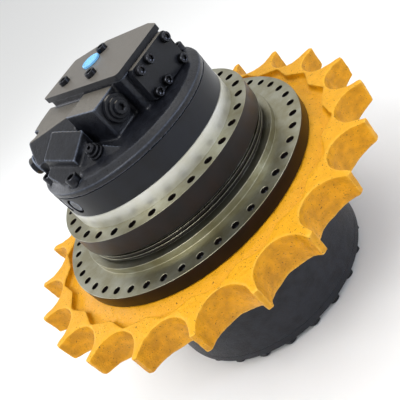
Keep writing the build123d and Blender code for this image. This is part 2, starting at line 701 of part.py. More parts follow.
with BuildPart() as top_plate_screws:
    with BuildSketch(block_plane(TOP_PLATE_TOP)):
        with Locations(*TOP_SCREW_POINTS):
            Circle(TOP_SCREW_HEAD_R)
    extrude(amount=TOP_SCREW_HEAD_H)
    with BuildSketch(block_plane(TOP_PLATE_TOP)):
        with Locations(*TOP_SCREW_POINTS):
            Circle(TOP_SCREW_R)
    extrude(amount=-TOP_PLATE_T - TOP_SCREW_GRIP)
save(top_plate_screws.part, "top_plate_screws")

with BuildPart() as shipping_plug:
    with BuildSketch(block_plane(TOP_PLATE_TOP)):
        with Locations((SHIPPING_PLUG_U, SHIPPING_PLUG_Y)):
            Circle(SHIPPING_PLUG_HEAD_R)
    extrude(amount=SHIPPING_PLUG_HEAD_H)
    with BuildSketch(block_plane(TOP_PLATE_TOP)):
        with Locations((SHIPPING_PLUG_U, SHIPPING_PLUG_Y)):
            Circle(SHIPPING_PLUG_R)
    extrude(amount=-TOP_PLATE_T - SHIPPING_PLUG_DEPTH)
save(shipping_plug.part, "shipping_plug")

# Cover plate over the two main ports and its screws
with BuildPart() as port_cover:
    with BuildSketch(block_face_plane(-SCREW_FACE)) as cover_outline:
        Polygon(
            (PORT_COVER_LEFT, PORT_COVER_LOW),
            (PORT_COVER_RIGHT, PORT_COVER_LOW),
            (PORT_COVER_RIGHT, PORT_COVER_HIGH),
            (PORT_COVER_LEFT, PORT_COVER_HIGH),
        )
        fillet(cover_outline.vertices(), BLOCK_CORNER_R)
        with Locations(*[(u, z) for u in PORT_SCREW_COLUMNS for z in PORT_SCREW_ROWS]):
            Circle(PORT_SCREW_R + BOLT_CLEARANCE, mode=Mode.SUBTRACT)
    extrude(amount=PORT_COVER_T)
save(port_cover.part, "port_cover")

with BuildPart() as port_cover_screws:
    with BuildSketch(block_face_plane(-SCREW_FACE - PORT_COVER_T)):
        with Locations(*[(u, z) for u in PORT_SCREW_COLUMNS for z in PORT_SCREW_ROWS]):
            Circle(PORT_SCREW_HEAD_R)
    extrude(amount=PORT_SCREW_HEAD_H)
    with BuildSketch(block_face_plane(-SCREW_FACE - PORT_COVER_T)):
        with Locations(*[(u, z) for u in PORT_SCREW_COLUMNS for z in PORT_SCREW_ROWS]):
            Circle(PORT_SCREW_R)
    extrude(amount=-PORT_COVER_T - PORT_SCREW_GRIP)
save(port_cover_screws.part, "port_cover_screws")

# Counterbalance spool in the boss, with the collared plug that closes its bore
with BuildPart() as spool_plug:
    with BuildSketch(block_face_plane(-BOSS_FACE)):
        with Locations((SPOOL_U, SPOOL_Z)):
            Circle(SPOOL_PLUG_R)
    extrude(amount=-SPOOL_PLUG_DEPTH)
    with BuildSketch(block_face_plane(-BOSS_FACE)):
        with Locations((SPOOL_U, SPOOL_Z)):
            Circle(SPOOL_COLLAR_R)
    extrude(amount=SPOOL_COLLAR_T)
    with BuildSketch(block_face_plane(-BOSS_FACE - SPOOL_COLLAR_T)):
        with Locations((SPOOL_U, SPOOL_Z)):
            RegularPolygon(SPOOL_HEX_ACROSS_FLATS / ROOT_3, 6)
    extrude(amount=SPOOL_HEX_H)
save(spool_plug.part, "spool_plug")

spool_end_gap = SPOOL_TRAVEL + LOOSE
spool_front = -BOSS_FACE + SPOOL_PLUG_DEPTH + spool_end_gap
spool_length = SPOOL_BORE_L - SPOOL_PLUG_DEPTH - 2 * spool_end_gap
with BuildPart() as counterbalance_spool:
    with BuildSketch(block_face_plane(spool_front)):
        with Locations((SPOOL_U, SPOOL_Z)):
            Circle(SPOOL_WAIST_R)
    extrude(amount=-spool_length)
    for land_start in (0, (spool_length - SPOOL_LAND_L) / 2, spool_length - SPOOL_LAND_L):
        with BuildSketch(block_face_plane(spool_front + land_start)):
            with Locations((SPOOL_U, SPOOL_Z)):
                Circle(SPOOL_R)
        extrude(amount=-SPOOL_LAND_L)
save(counterbalance_spool.part, "counterbalance_spool")

# Relief valve cartridges in the shelf's wall and plugs of the gauge ports in the casing
with BuildPart() as relief_valves:
    for valve in range(RELIEF_VALVES):
        turn = RELIEF_FIRST_DEG + valve * RELIEF_STEP_DEG
        with BuildSketch(radial_plane(SHELF_R, turn, RELIEF_Z)):
            Circle(RELIEF_STEM_R)
        extrude(amount=-RELIEF_STEM_L)
        with BuildSketch(radial_plane(SHELF_R, turn, RELIEF_Z)):
            Circle(RELIEF_COLLAR_R)
        extrude(amount=RELIEF_COLLAR_T)
        with BuildSketch(radial_plane(SHELF_R + RELIEF_COLLAR_T, turn, RELIEF_Z)):
            RegularPolygon(RELIEF_ACROSS_FLATS / ROOT_3, 6)
        extrude(amount=RELIEF_HEX_H)
save(relief_valves.part, "relief_valves")

with BuildPart() as gauge_plugs:
    for gauge in range(GAUGE_PLUGS):
        gauge_seat = radial_plane(GAUGE_SEAT_R, GAUGE_FIRST_DEG + gauge * GAUGE_STEP_DEG, GAUGE_Z)
        with BuildSketch(gauge_seat):
            Circle(GAUGE_STEM_R)
        extrude(amount=-GAUGE_STEM_L)
        with BuildSketch(gauge_seat):
            RegularPolygon(GAUGE_ACROSS_FLATS / ROOT_3, 6)
        extrude(amount=GAUGE_HEAD_H)
save(gauge_plugs.part, "gauge_plugs")

# Main bearings: inner rings on the spindle nose, outer rings in the hub, rollers between
with BuildPart() as main_bearing_inner_rings:
    with BuildSketch(Plane.XZ):
        Polygon(*race_corners(-1, BEARING_BORE_R, UPPER_BEARING_TOP, UPPER_BEARING_END))
        Polygon(*race_corners(-1, BEARING_BORE_R, LOWER_BEARING_END, LOWER_BEARING_TOP))
    revolve(axis=Axis.Z)
save(main_bearing_inner_rings.part, "main_bearing_inner_rings")

with BuildPart() as main_bearing_outer_rings:
    with BuildSketch(Plane.XZ):
        Polygon(*race_corners(1, BEARING_OUTER_R, UPPER_BEARING_TOP, UPPER_BEARING_END))
        Polygon(*race_corners(1, BEARING_OUTER_R, LOWER_BEARING_END, LOWER_BEARING_TOP))
    revolve(axis=Axis.Z)
save(main_bearing_outer_rings.part, "main_bearing_outer_rings")


def taper_roller(middle_z, large_end):
    """One taper roller on the +X side, its large end up (1) or down (-1)."""
    tilt = radians(ROLLER_TILT_DEG)
    along = (sin(tilt), large_end * cos(tilt))
    across = (cos(tilt), -large_end * sin(tilt))
    half = ROLLER_L / 2
    growth = half * tan(radians(ROLLER_TAPER_DEG))
    large = (BEARING_MEAN_R + half * along[0], middle_z + half * along[1])
    small = (BEARING_MEAN_R - half * along[0], middle_z - half * along[1])
    large_r = ROLLER_R + growth
    small_r = ROLLER_R - growth
    with BuildPart() as roller:
        with BuildSketch(Plane.XZ):
            Polygon(
                small,
                (small[0] + small_r * across[0], small[1] + small_r * across[1]),
                (large[0] + large_r * across[0], large[1] + large_r * across[1]),
                large,
            )
        revolve(axis=Axis((small[0], 0, small[1]), (along[0], 0, along[1])))
    return roller.part


upper_roller = taper_roller((UPPER_BEARING_TOP + UPPER_BEARING_END) / 2, 1)
lower_roller = taper_roller((LOWER_BEARING_TOP + LOWER_BEARING_END) / 2, -1)
with BuildPart() as main_bearing_rollers:
    with PolarLocations(0, ROLLERS_PER_ROW):
        add(upper_roller)
        add(lower_roller)
save(main_bearing_rollers.part, "main_bearing_rollers")

# Slotted nut that holds the bearing pair on the spindle nose
with BuildPart() as spindle_nut:
    with BuildSketch(Plane.XY.offset(NUT_END)):
        Circle(NUT_R)
        Circle(NUT_THREAD_R + THREAD_CLEARANCE, mode=Mode.SUBTRACT)
        with PolarLocations(NUT_R, NUT_SLOTS):
            Rectangle(2 * NUT_SLOT_DEPTH, NUT_SLOT_W, mode=Mode.SUBTRACT)
    extrude(amount=NUT_T)
save(spindle_nut.part, "spindle_nut")


def seal_ring_corners(side):
    """Section of one floating seal ring, above (1) or below (-1) the lapped face."""
    face = SEAL_FACE + side * SEAL_FACE_GAP / 2
    return (
        (SEAL_RING_INNER_R, face),
        (SEAL_RING_OUTER_R, face),
        (SEAL_RING_OUTER_R, face + side * SEAL_RIM_H),
        (SEAL_NOSE_R, face + side * 2 * SEAL_RIM_H),
        (SEAL_NOSE_R, face + side * SEAL_RING_H),
        (SEAL_RING_INNER_R, face + side * SEAL_RING_H),
    )


def load_ring_corners(side):
    """Section of one rubber load ring between a seal ring and its seat."""
    near = SEAL_FACE + side * (FLANGE_BACK + LOAD_RING_INSET - SEAL_FACE)
    far = SEAL_FACE + side * (SEAL_RING_H - LOAD_RING_INSET)
    cut = LOAD_RING_CHAMFER
    return (
        (SEAL_NOSE_R, near + side * cut),
        (SEAL_NOSE_R + cut, near),
        (SEAL_BORE_R - cut, near),
        (SEAL_BORE_R, near + side * cut),
        (SEAL_BORE_R, far - side * cut),
        (SEAL_BORE_R - cut, far),
        (SEAL_NOSE_R + cut, far),
        (SEAL_NOSE_R, far - side * cut),
    )


def turned(corners):
    """Solid of revolution about the drive's axis from a section's corners."""
    with BuildPart() as solid:
        with BuildSketch(Plane.XZ):
            Polygon(*corners)
        revolve(axis=Axis.Z)
    return solid.part


save(turned(seal_ring_corners(1)), "spindle_seal_ring")
save(turned(seal_ring_corners(-1)), "hub_seal_ring")
save(turned(load_ring_corners(1)), "spindle_load_ring")
save(turned(load_ring_corners(-1)), "hub_load_ring")

# Hub: labyrinth collar, lip, sprocket flange and barrel
with BuildPart() as hub_housing:
    with BuildSketch(Plane.XZ):
        Polygon(
            (SEAL_BORE_R, COLLAR_TOP),
            (COLLAR_R, COLLAR_TOP),
            (COLLAR_R, LIP_TOP),
            (LIP_R, LIP_TOP),
            (LIP_R, HUB_FLANGE_TOP),
            (HUB_FLANGE_R, HUB_FLANGE_TOP),
            (HUB_FLANGE_R, WEB_FRONT),
            (HUB_BARREL_R, WEB_FRONT),
            (HUB_BARREL_R, HUB_END),
            (HUB_MOUTH_R, HUB_END),
            (HUB_MOUTH_R, LOWER_BEARING_END),
            (BEARING_OUTER_R, LOWER_BEARING_END),
            (BEARING_OUTER_R, LOWER_BEARING_TOP),
            (HUB_SHOULDER_R, LOWER_BEARING_TOP),
            (HUB_SHOULDER_R, UPPER_BEARING_END),
            (BEARING_OUTER_R, UPPER_BEARING_END),
            (BEARING_OUTER_R, SEAL_FLOOR),
            (SEAL_BORE_R, SEAL_FLOOR),
        )
        rib_step = COLLAR_H / (COLLAR_RIBS + 1)
        for rib in range(COLLAR_RIBS):
            with Locations((COLLAR_R, LIP_TOP + (rib + 1) * rib_step)):
                Rectangle(2 * (COLLAR_RIB_R - COLLAR_R), COLLAR_RIB_H)
    revolve(axis=Axis.Z)
    with BuildSketch(Plane.XY.offset(HUB_FLANGE_TOP)):
        with PolarLocations(SPROCKET_BOLT_CIRCLE_R, SPROCKET_BOLTS, start_angle=SPROCKET_FIRST_BOLT_DEG):
            Circle(SPROCKET_BOLT_R + THREAD_CLEARANCE)
    extrude(amount=-HUB_FLANGE_T, mode=Mode.SUBTRACT)
    with BuildSketch(Plane.XY.offset(HUB_END)):
        with PolarLocations(COVER_BOLT_CIRCLE_R, COVER_BOLTS):
            Circle(COVER_BOLT_R + THREAD_CLEARANCE)
    extrude(amount=COVER_BOLT_GRIP + LOOSE, mode=Mode.SUBTRACT)
save(hub_housing.part, "hub_housing")

# Sprocket: dished disc with raised tooth blocks, round bush seats between narrow tips
tooth_pitch = 2 * pi / SPROCKET_TEETH
first_tooth = radians(SPROCKET_FIRST_TOOTH_DEG)
tip_half = TOOTH_TIP_W / 2 / SPROCKET_TIP_R
seat_bottom_r = SPROCKET_PITCH_R - CHAIN_BUSH_R
pitch_share = sin(tooth_pitch / 2)
seat_r = (seat_bottom_r * pitch_share - TOOTH_NECK_W / 2) / (1 - pitch_share)


def flank_foot():
    """Radius and angle from the tooth's middle where its flank runs into the bush seat."""
    seat = polar(seat_bottom_r + seat_r, tooth_pitch / 2)
    tip = polar(SPROCKET_TIP_R, tip_half)
    reach = (tip[0] - seat[0], tip[1] - seat[1])
    turn = atan2(reach[1], reach[0]) - acos(seat_r / hypot(*reach))
    foot = (seat[0] + seat_r * cos(turn), seat[1] + seat_r * sin(turn))
    return hypot(*foot), atan2(foot[1], foot[0])


foot_r, foot_angle = flank_foot()
dish_front = WEB_FRONT - WEB_DISH
with BuildPart() as sprocket:
    with BuildSketch(Plane.XY.offset(WEB_FRONT + TOOTH_FRONT_RISE)):
        with BuildLine():
            for tooth in range(SPROCKET_TEETH):
                middle = first_tooth + tooth * tooth_pitch
                Line(polar(foot_r, middle - foot_angle), polar(SPROCKET_TIP_R, middle - tip_half))
                Line(polar(SPROCKET_TIP_R, middle - tip_half), polar(SPROCKET_TIP_R, middle + tip_half))
                Line(polar(SPROCKET_TIP_R, middle + tip_half), polar(foot_r, middle + foot_angle))
                ThreePointArc(
                    polar(foot_r, middle + foot_angle),
                    polar(seat_bottom_r, middle + tooth_pitch / 2),
                    polar(foot_r, middle + tooth_pitch - foot_angle),
                )
        make_face()
        Circle(HUB_BARREL_R + LOOSE, mode=Mode.SUBTRACT)
    extrude(amount=-TOOTH_FRONT_RISE - WEB_T - TOOTH_REAR_RISE)
    pad_edge = []
    for tooth in range(SPROCKET_TEETH):
        middle = first_tooth + tooth * tooth_pitch
        pad_edge.append(polar(PAD_POINT_R, middle))
        pad_edge.append(polar(seat_bottom_r - PAD_NOTCH_LIP, middle + tooth_pitch / 2))
    with BuildSketch(Plane.XY.offset(dish_front)):
        Polygon(*pad_edge)
    extrude(amount=TOOTH_FRONT_RISE + WEB_DISH, mode=Mode.SUBTRACT)
    with BuildSketch(Plane.XY.offset(WEB_REAR)):
        Polygon(*pad_edge)
    extrude(amount=-TOOTH_REAR_RISE, mode=Mode.SUBTRACT)
    with BuildSketch(Plane.XZ):
        Polygon(
            (HUB_BARREL_R + LOOSE, dish_front),
            (PAD_POINT_R, dish_front),
            (HUB_FLANGE_R, WEB_FRONT),
            (HUB_BARREL_R + LOOSE, WEB_FRONT),
        )
    revolve(axis=Axis.Z)
    with BuildSketch(Plane.XY.offset(WEB_REAR)):
        with PolarLocations(SPROCKET_BOLT_CIRCLE_R, SPROCKET_BOLTS, start_angle=SPROCKET_FIRST_BOLT_DEG):
            Circle(SPROCKET_BOLT_R + BOLT_CLEARANCE)
    extrude(amount=WEB_T, mode=Mode.SUBTRACT)
save(sprocket.part, "sprocket")

with BuildPart() as sprocket_bolts:
    with BuildSketch(Plane.XY.offset(WEB_REAR)):
        with PolarLocations(SPROCKET_BOLT_CIRCLE_R, SPROCKET_BOLTS, start_angle=SPROCKET_FIRST_BOLT_DEG):
            RegularPolygon(SPROCKET_BOLT_ACROSS_FLATS / ROOT_3, 6)
    extrude(amount=-SPROCKET_BOLT_HEAD_H)
    with BuildSketch(Plane.XY.offset(WEB_REAR)):
        with PolarLocations(SPROCKET_BOLT_CIRCLE_R, SPROCKET_BOLTS, start_angle=SPROCKET_FIRST_BOLT_DEG):
            Circle(SPROCKET_BOLT_R)
    extrude(amount=WEB_T + HUB_FLANGE_T - SPROCKET_BOLT_END_RECESS)
save(sprocket_bolts.part, "sprocket_bolts")

# Ring gear between hub and end cover
with BuildPart() as ring_gear:
    with BuildSketch(Plane.XY.offset(COVER_SEAT)):
        Circle(HUB_BARREL_R)
        with BuildLine():
            gear_edges(RING_TEETH, RING_PITCH_R - ADDENDUM, RING_PITCH_R + DEDENDUM, BACKLASH / 2, 0)
        make_face(mode=Mode.SUBTRACT)
        with PolarLocations(COVER_BOLT_CIRCLE_R, COVER_BOLTS):
            Circle(COVER_BOLT_R + BOLT_CLEARANCE, mode=Mode.SUBTRACT)
    extrude(amount=RING_GEAR_L)
save(ring_gear.part, "ring_gear")

# End cover, its bolts, oil plugs and the pad that the first sun gear runs against
pocket_floor = COVER_SEAT - COVER_POCKET_DEPTH
plug_seat = COVER_FACE + OIL_PLUG_RECESS
with BuildPart() as end_cover:
    with BuildSketch(Plane.XZ):
        Polygon(
            (0, COVER_FACE),
            (COVER_DOME_FACE_R, COVER_FACE),
            (COVER_DOME_RIM_R, COVER_RIM_FACE),
            (HUB_BARREL_R, COVER_RIM_FACE),
            (HUB_BARREL_R, COVER_SEAT),
            (COVER_POCKET_R, COVER_SEAT),
            (COVER_POCKET_R, pocket_floor),
            (0, pocket_floor),
        )
    revolve(axis=Axis.Z)
    with BuildSketch(Plane.XY.offset(COVER_RIM_FACE)):
        with PolarLocations(COVER_BOLT_CIRCLE_R, COVER_BOLTS):
            Circle(COVER_BOLT_R + BOLT_CLEARANCE)
    extrude(amount=COVER_RIM_T, mode=Mode.SUBTRACT)
    with BuildSketch(Plane.XY.offset(COVER_FACE)):
        with PolarLocations(OIL_PLUG_CIRCLE_R, OIL_PLUGS):
            Circle(OIL_PLUG_HEAD_R + BOLT_CLEARANCE)
    extrude(amount=OIL_PLUG_RECESS, mode=Mode.SUBTRACT)
    with BuildSketch(Plane.XY.offset(plug_seat)):
        with PolarLocations(OIL_PLUG_CIRCLE_R, OIL_PLUGS):
            Circle(OIL_PLUG_R + THREAD_CLEARANCE)
    extrude(amount=pocket_floor - plug_seat, mode=Mode.SUBTRACT)
save(end_cover.part, "end_cover")

with BuildPart() as cover_bolts:
    with BuildSketch(Plane.XY.offset(COVER_RIM_FACE)):
        with PolarLocations(COVER_BOLT_CIRCLE_R, COVER_BOLTS):
            RegularPolygon(COVER_BOLT_ACROSS_FLATS / ROOT_3, 6)
    extrude(amount=-COVER_BOLT_HEAD_H)
    with BuildSketch(Plane.XY.offset(COVER_RIM_FACE)):
        with PolarLocations(COVER_BOLT_CIRCLE_R, COVER_BOLTS):
            Circle(COVER_BOLT_R)
    extrude(amount=COVER_RIM_T + RING_GEAR_L + COVER_BOLT_GRIP)
save(cover_bolts.part, "cover_bolts")

with BuildPart() as oil_plugs:
    with BuildSketch(Plane.XY.offset(plug_seat)):
        with PolarLocations(OIL_PLUG_CIRCLE_R, OIL_PLUGS):
            Circle(OIL_PLUG_HEAD_R)
            RegularPolygon(OIL_PLUG_SOCKET_ACROSS_FLATS / ROOT_3, 6, mode=Mode.SUBTRACT)
    extrude(amount=-OIL_PLUG_HEAD_H)
    with BuildSketch(Plane.XY.offset(plug_seat)):
        with PolarLocations(OIL_PLUG_CIRCLE_R, OIL_PLUGS):
            Circle(OIL_PLUG_R)
    extrude(amount=pocket_floor - plug_seat)
save(oil_plugs.part, "oil_plugs")

with BuildPart() as thrust_pad:
    with BuildSketch(Plane.XY.offset(pocket_floor)):
        Circle(THRUST_PAD_R)
    extrude(amount=GEAR_1_END - LOOSE - pocket_floor)
save(thrust_pad.part, "thrust_pad")

# First reduction stage: sun on the motor shaft, planets on the turning carrier
sun_1_first = 0 if PLANET_1_TEETH % 2 else pi / SUN_1_TEETH
socket_top = SHAFT_END + SHAFT_SOCKET_L
sun_1_teeth = spur_gear(SUN_1_TEETH, 0, GEAR_1_END, GEAR_1_TOP, (0, 0), sun_1_first)
with BuildPart() as sun_gear_1:
    add(sun_1_teeth)
    with BuildSketch(Plane.XY.offset(GEAR_1_TOP)):
        Circle(SUN_1_STEM_R)
    extrude(amount=socket_top - LOOSE - GEAR_1_TOP)
save(sun_gear_1.part, "sun_gear_1")

with BuildPart() as carrier_1:
    with BuildSketch(Plane.XY.offset(CARRIER_1_END)):
        Circle(CARRIER_1_R)
        Circle(SUN_2_HUB_R + PRESS, mode=Mode.SUBTRACT)
        with PolarLocations(PLANET_1_CIRCLE_R, PLANETS):
            Circle(PLANET_1_PIN_R + PRESS, mode=Mode.SUBTRACT)
    extrude(amount=CARRIER_1_T)
save(carrier_1.part, "carrier_1")

with BuildPart() as carrier_1_pins:
    with BuildSketch(Plane.XY.offset(GEAR_1_END - PIN_END_STANDOUT)):
        with PolarLocations(PLANET_1_CIRCLE_R, PLANETS):
            Circle(PLANET_1_PIN_R)
    extrude(amount=CARRIER_1_TOP - GEAR_1_END + PIN_END_STANDOUT)
save(carrier_1_pins.part, "carrier_1_pins")

with BuildPart() as carrier_1_washers:
    with BuildSketch(Plane.XY.offset(GEAR_1_TOP + LOOSE)):
        with PolarLocations(PLANET_1_CIRCLE_R, PLANETS):
            Circle(PLANET_1_PIN_R + WASHER_WALL)
            Circle(PLANET_1_PIN_R + LOOSE, mode=Mode.SUBTRACT)
    extrude(amount=WASHER_T)
save(carrier_1_washers.part, "carrier_1_washers")

for index in range(PLANETS):
    around, first = planet_angles(index, SUN_1_TEETH, PLANET_1_TEETH)
    centre = polar(PLANET_1_CIRCLE_R, around)
    planet = spur_gear(PLANET_1_TEETH, PLANET_1_PIN_R + LOOSE, GEAR_1_END, GEAR_1_TOP, centre, first)
    save(planet, f"planet_gear_1{chr(ord('a') + index)}")

# Second reduction stage: sun splined in the first carrier, planets on the fixed carrier
sun_2_first = 0 if PLANET_2_TEETH % 2 else pi / SUN_2_TEETH
sun_2_teeth = spur_gear(SUN_2_TEETH, SUN_2_BORE_R, GEAR_2_END, GEAR_2_TOP, (0, 0), sun_2_first)
with BuildPart() as sun_gear_2:
    add(sun_2_teeth)
    with BuildSketch(Plane.XY.offset(CARRIER_1_END)):
        Circle(SUN_2_HUB_R)
        Circle(SUN_2_BORE_R, mode=Mode.SUBTRACT)
    extrude(amount=GEAR_2_END - CARRIER_1_END)
save(sun_gear_2.part, "sun_gear_2")

with BuildPart() as carrier_2:
    with BuildSketch(Plane.XY.offset(CARRIER_2_END)):
        Circle(CARRIER_2_R)
        Circle(SPLINE_R + PRESS, mode=Mode.SUBTRACT)
        with PolarLocations(PLANET_2_CIRCLE_R, PLANETS):
            Circle(PLANET_2_PIN_R + PRESS, mode=Mode.SUBTRACT)
    extrude(amount=CARRIER_2_T)
save(carrier_2.part, "carrier_2")

with BuildPart() as carrier_2_pins:
    with BuildSketch(Plane.XY.offset(GEAR_2_END - PIN_END_STANDOUT)):
        with PolarLocations(PLANET_2_CIRCLE_R, PLANETS):
            Circle(PLANET_2_PIN_R)
    extrude(amount=NUT_END - GEAR_2_END + PIN_END_STANDOUT)
save(carrier_2_pins.part, "carrier_2_pins")

with BuildPart() as carrier_2_washers:
    with BuildSketch(Plane.XY.offset(GEAR_2_TOP + LOOSE)):
        with PolarLocations(PLANET_2_CIRCLE_R, PLANETS):
            Circle(PLANET_2_PIN_R + WASHER_WALL)
            Circle(PLANET_2_PIN_R + LOOSE, mode=Mode.SUBTRACT)
    extrude(amount=WASHER_T)
save(carrier_2_washers.part, "carrier_2_washers")

for index in range(PLANETS):
    around, first = planet_angles(index, SUN_2_TEETH, PLANET_2_TEETH)
    centre = polar(PLANET_2_CIRCLE_R, around)
    planet = spur_gear(PLANET_2_TEETH, PLANET_2_PIN_R + LOOSE, GEAR_2_END, GEAR_2_TOP, centre, first)
    save(planet, f"planet_gear_2{chr(ord('a') + index)}")

# Motor shaft with its bearings and seal
shaft_top = CASING_TOP + REAR_BUSH_L - LOOSE
motor_shaft = turned(
    (
        (0, socket_top),
        (SUN_1_STEM_R + RUNNING, socket_top),
        (SUN_1_STEM_R + RUNNING, SHAFT_END),
        (SHAFT_R, SHAFT_END),
        (SHAFT_R, FRONT_BEARING_END),
        (SHAFT_FRONT_R, FRONT_BEARING_END),
        (SHAFT_FRONT_R, SWASH_FLOOR),
        (SHAFT_R, SWASH_FLOOR),
        (SHAFT_R, BLOCK_TOP),
        (SHAFT_REAR_R, BLOCK_TOP),
        (SHAFT_REAR_R, shaft_top),
        (0, shaft_top),
    )
)
save(motor_shaft, "motor_shaft")


def plain_ring(inner_r, outer_r, bottom, height):
    """Flat ring about the drive's axis."""
    with BuildPart() as ring:
        with BuildSketch(Plane.XY.offset(bottom)):
            Circle(outer_r)
            Circle(inner_r, mode=Mode.SUBTRACT)
        extrude(amount=height)
    return ring.part


front_inner_race = FRONT_ROLLER_CIRCLE_R - FRONT_ROLLER_R - LOOSE
front_outer_race = FRONT_ROLLER_CIRCLE_R + FRONT_ROLLER_R + LOOSE
inner_ring = plain_ring(SHAFT_FRONT_R, front_inner_race, FRONT_BEARING_END, FRONT_BEARING_W)
save(inner_ring, "front_bearing_inner_ring")
outer_ring = plain_ring(front_outer_race, FRONT_BEARING_R, FRONT_BEARING_END, FRONT_BEARING_W)
save(outer_ring, "front_bearing_outer_ring")
save(plain_ring(SHAFT_R + RUNNING, SHAFT_SEAL_R, SHAFT_SEAL_END, SHAFT_SEAL_T), "shaft_seal")
save(plain_ring(SHAFT_REAR_R + RUNNING, REAR_BUSH_R, CASING_TOP, REAR_BUSH_L), "rear_bush")

with BuildPart() as front_bearing_rollers:
    with BuildSketch(Plane.XY.offset(FRONT_BEARING_END + LOOSE)):
        with PolarLocations(FRONT_ROLLER_CIRCLE_R, FRONT_ROLLERS):
            Circle(FRONT_ROLLER_R)
    extrude(amount=FRONT_BEARING_W - 2 * LOOSE)
save(front_bearing_rollers.part, "front_bearing_rollers")

# Axial piston group, held with its swash plate level
with BuildPart() as cylinder_block:
    with BuildSketch(Plane.XY.offset(BLOCK_BOTTOM)):
        Circle(BLOCK_R)
        Circle(SHAFT_R + PRESS, mode=Mode.SUBTRACT)
    extrude(amount=BLOCK_L)
    with BuildSketch(Plane.XY.offset(BLOCK_BOTTOM)):
        with PolarLocations(PISTON_CIRCLE_R, PISTONS):
            Circle(PISTON_R + RUNNING)
    extrude(amount=PISTON_BORE_L, mode=Mode.SUBTRACT)
    with BuildSketch(Plane.XY.offset(BLOCK_BOTTOM + PISTON_BORE_L)):
        with PolarLocations(PISTON_CIRCLE_R, PISTONS):
            Circle(PISTON_PORT_R)
    extrude(amount=BLOCK_L - PISTON_BORE_L, mode=Mode.SUBTRACT)
save(cylinder_block.part, "cylinder_block")

piston_axis = Axis((PISTON_CIRCLE_R, 0, 0), (0, 0, 1))
neck_z = BALL_Z + (PISTON_BALL_R**2 - PISTON_NECK_R**2) ** 0.5
piston_z = BALL_Z + PISTON_BALL_R + PISTON_NECK_L
with BuildPart() as one_piston:
    with BuildSketch(Plane.XZ):
        with BuildLine():
            ThreePointArc(
                (PISTON_CIRCLE_R, BALL_Z - PISTON_BALL_R),
                (PISTON_CIRCLE_R + PISTON_BALL_R, BALL_Z),
                (PISTON_CIRCLE_R + PISTON_NECK_R, neck_z),
            )
            Polyline(
                (PISTON_CIRCLE_R + PISTON_NECK_R, neck_z),
                (PISTON_CIRCLE_R + PISTON_NECK_R, piston_z),
                (PISTON_CIRCLE_R + PISTON_R, piston_z),
                (PISTON_CIRCLE_R + PISTON_R, piston_z + PISTON_L),
                (PISTON_CIRCLE_R, piston_z + PISTON_L),
                (PISTON_CIRCLE_R, BALL_Z - PISTON_BALL_R),
            )
        make_face()
    revolve(axis=piston_axis)
with BuildPart() as pistons:
    with PolarLocations(0, PISTONS):
        add(one_piston.part)
save(pistons.part, "pistons")

shoe_sole = SWASH_FACE + LOOSE
with BuildPart() as one_shoe:
    with BuildSketch(Plane.XY.offset(shoe_sole)):
        with Locations((PISTON_CIRCLE_R, 0)):
            Circle(SHOE_R)
    extrude(amount=SHOE_FLANGE_T)
    with BuildSketch(Plane.XY.offset(shoe_sole)):
        with Locations((PISTON_CIRCLE_R, 0)):
            Circle(SHOE_BODY_R)
    extrude(amount=SHOE_H)
    with Locations((PISTON_CIRCLE_R, 0, BALL_Z)):
        Sphere(PISTON_BALL_R + RUNNING, mode=Mode.SUBTRACT)
with BuildPart() as piston_shoes:
    with PolarLocations(0, PISTONS):
        add(one_shoe.part)
save(piston_shoes.part, "piston_shoes")

with BuildPart() as retainer_plate:
    with BuildSketch(Plane.XY.offset(shoe_sole + SHOE_FLANGE_T)):
        Circle(RETAINER_R)
        Circle(SWASH_HOLE_R, mode=Mode.SUBTRACT)
        with PolarLocations(PISTON_CIRCLE_R, PISTONS):
            Circle(SHOE_BODY_R + RUNNING, mode=Mode.SUBTRACT)
    extrude(amount=RETAINER_T)
save(retainer_plate.part, "retainer_plate")

save(plain_ring(SWASH_HOLE_R, SWASH_R, SWASH_FLOOR, SWASH_T), "swash_plate")

with BuildPart() as valve_plate:
    with BuildSketch(Plane.XY.offset(CASING_TOP - VALVE_PLATE_T)):
        Circle(VALVE_PLATE_R)
        Circle(SHAFT_REAR_R + LOOSE, mode=Mode.SUBTRACT)
        for start in (-KIDNEY_DEG / 2, 180 - KIDNEY_DEG / 2):
            kidney = CenterArc((0, 0), PISTON_CIRCLE_R, start, KIDNEY_DEG, mode=Mode.PRIVATE)
            SlotArc(kidney, KIDNEY_W, mode=Mode.SUBTRACT)
    extrude(amount=VALVE_PLATE_T)
save(valve_plate.part, "valve_plate")

# Parking brake: plates keyed in the casing, discs on the cylinder block, spring and piston
brake_step = BRAKE_PLATE_T + BRAKE_DISC_T + 2 * BRAKE_GAP
with BuildPart() as brake_plates:
    for layer in range(BRAKE_DISCS + 1):
        with BuildSketch(Plane.XY.offset(FLANGE_FACE + layer * brake_step)):
            Circle(BRAKE_BORE_R - RUNNING)
            Circle(BRAKE_PLATE_INNER_R, mode=Mode.SUBTRACT)
        extrude(amount=BRAKE_PLATE_T)
save(brake_plates.part, "brake_plates")

with BuildPart() as brake_discs:
    for layer in range(BRAKE_DISCS):
        with BuildSketch(Plane.XY.offset(FLANGE_FACE + layer * brake_step + BRAKE_PLATE_T + BRAKE_GAP)):
            Circle(BRAKE_DISC_OUTER_R)
            Circle(BLOCK_R + RUNNING, mode=Mode.SUBTRACT)
        extrude(amount=BRAKE_DISC_T)
save(brake_discs.part, "brake_discs")

brake_piston_z = FLANGE_FACE + BRAKE_DISCS * brake_step + BRAKE_PLATE_T + BRAKE_GAP
brake_piston_top = brake_piston_z + BRAKE_PISTON_H
brake_piston_r = BRAKE_BORE_R - RUNNING
save(plain_ring(BRAKE_PISTON_INNER_R, brake_piston_r, brake_piston_z, BRAKE_PISTON_H), "brake_piston")

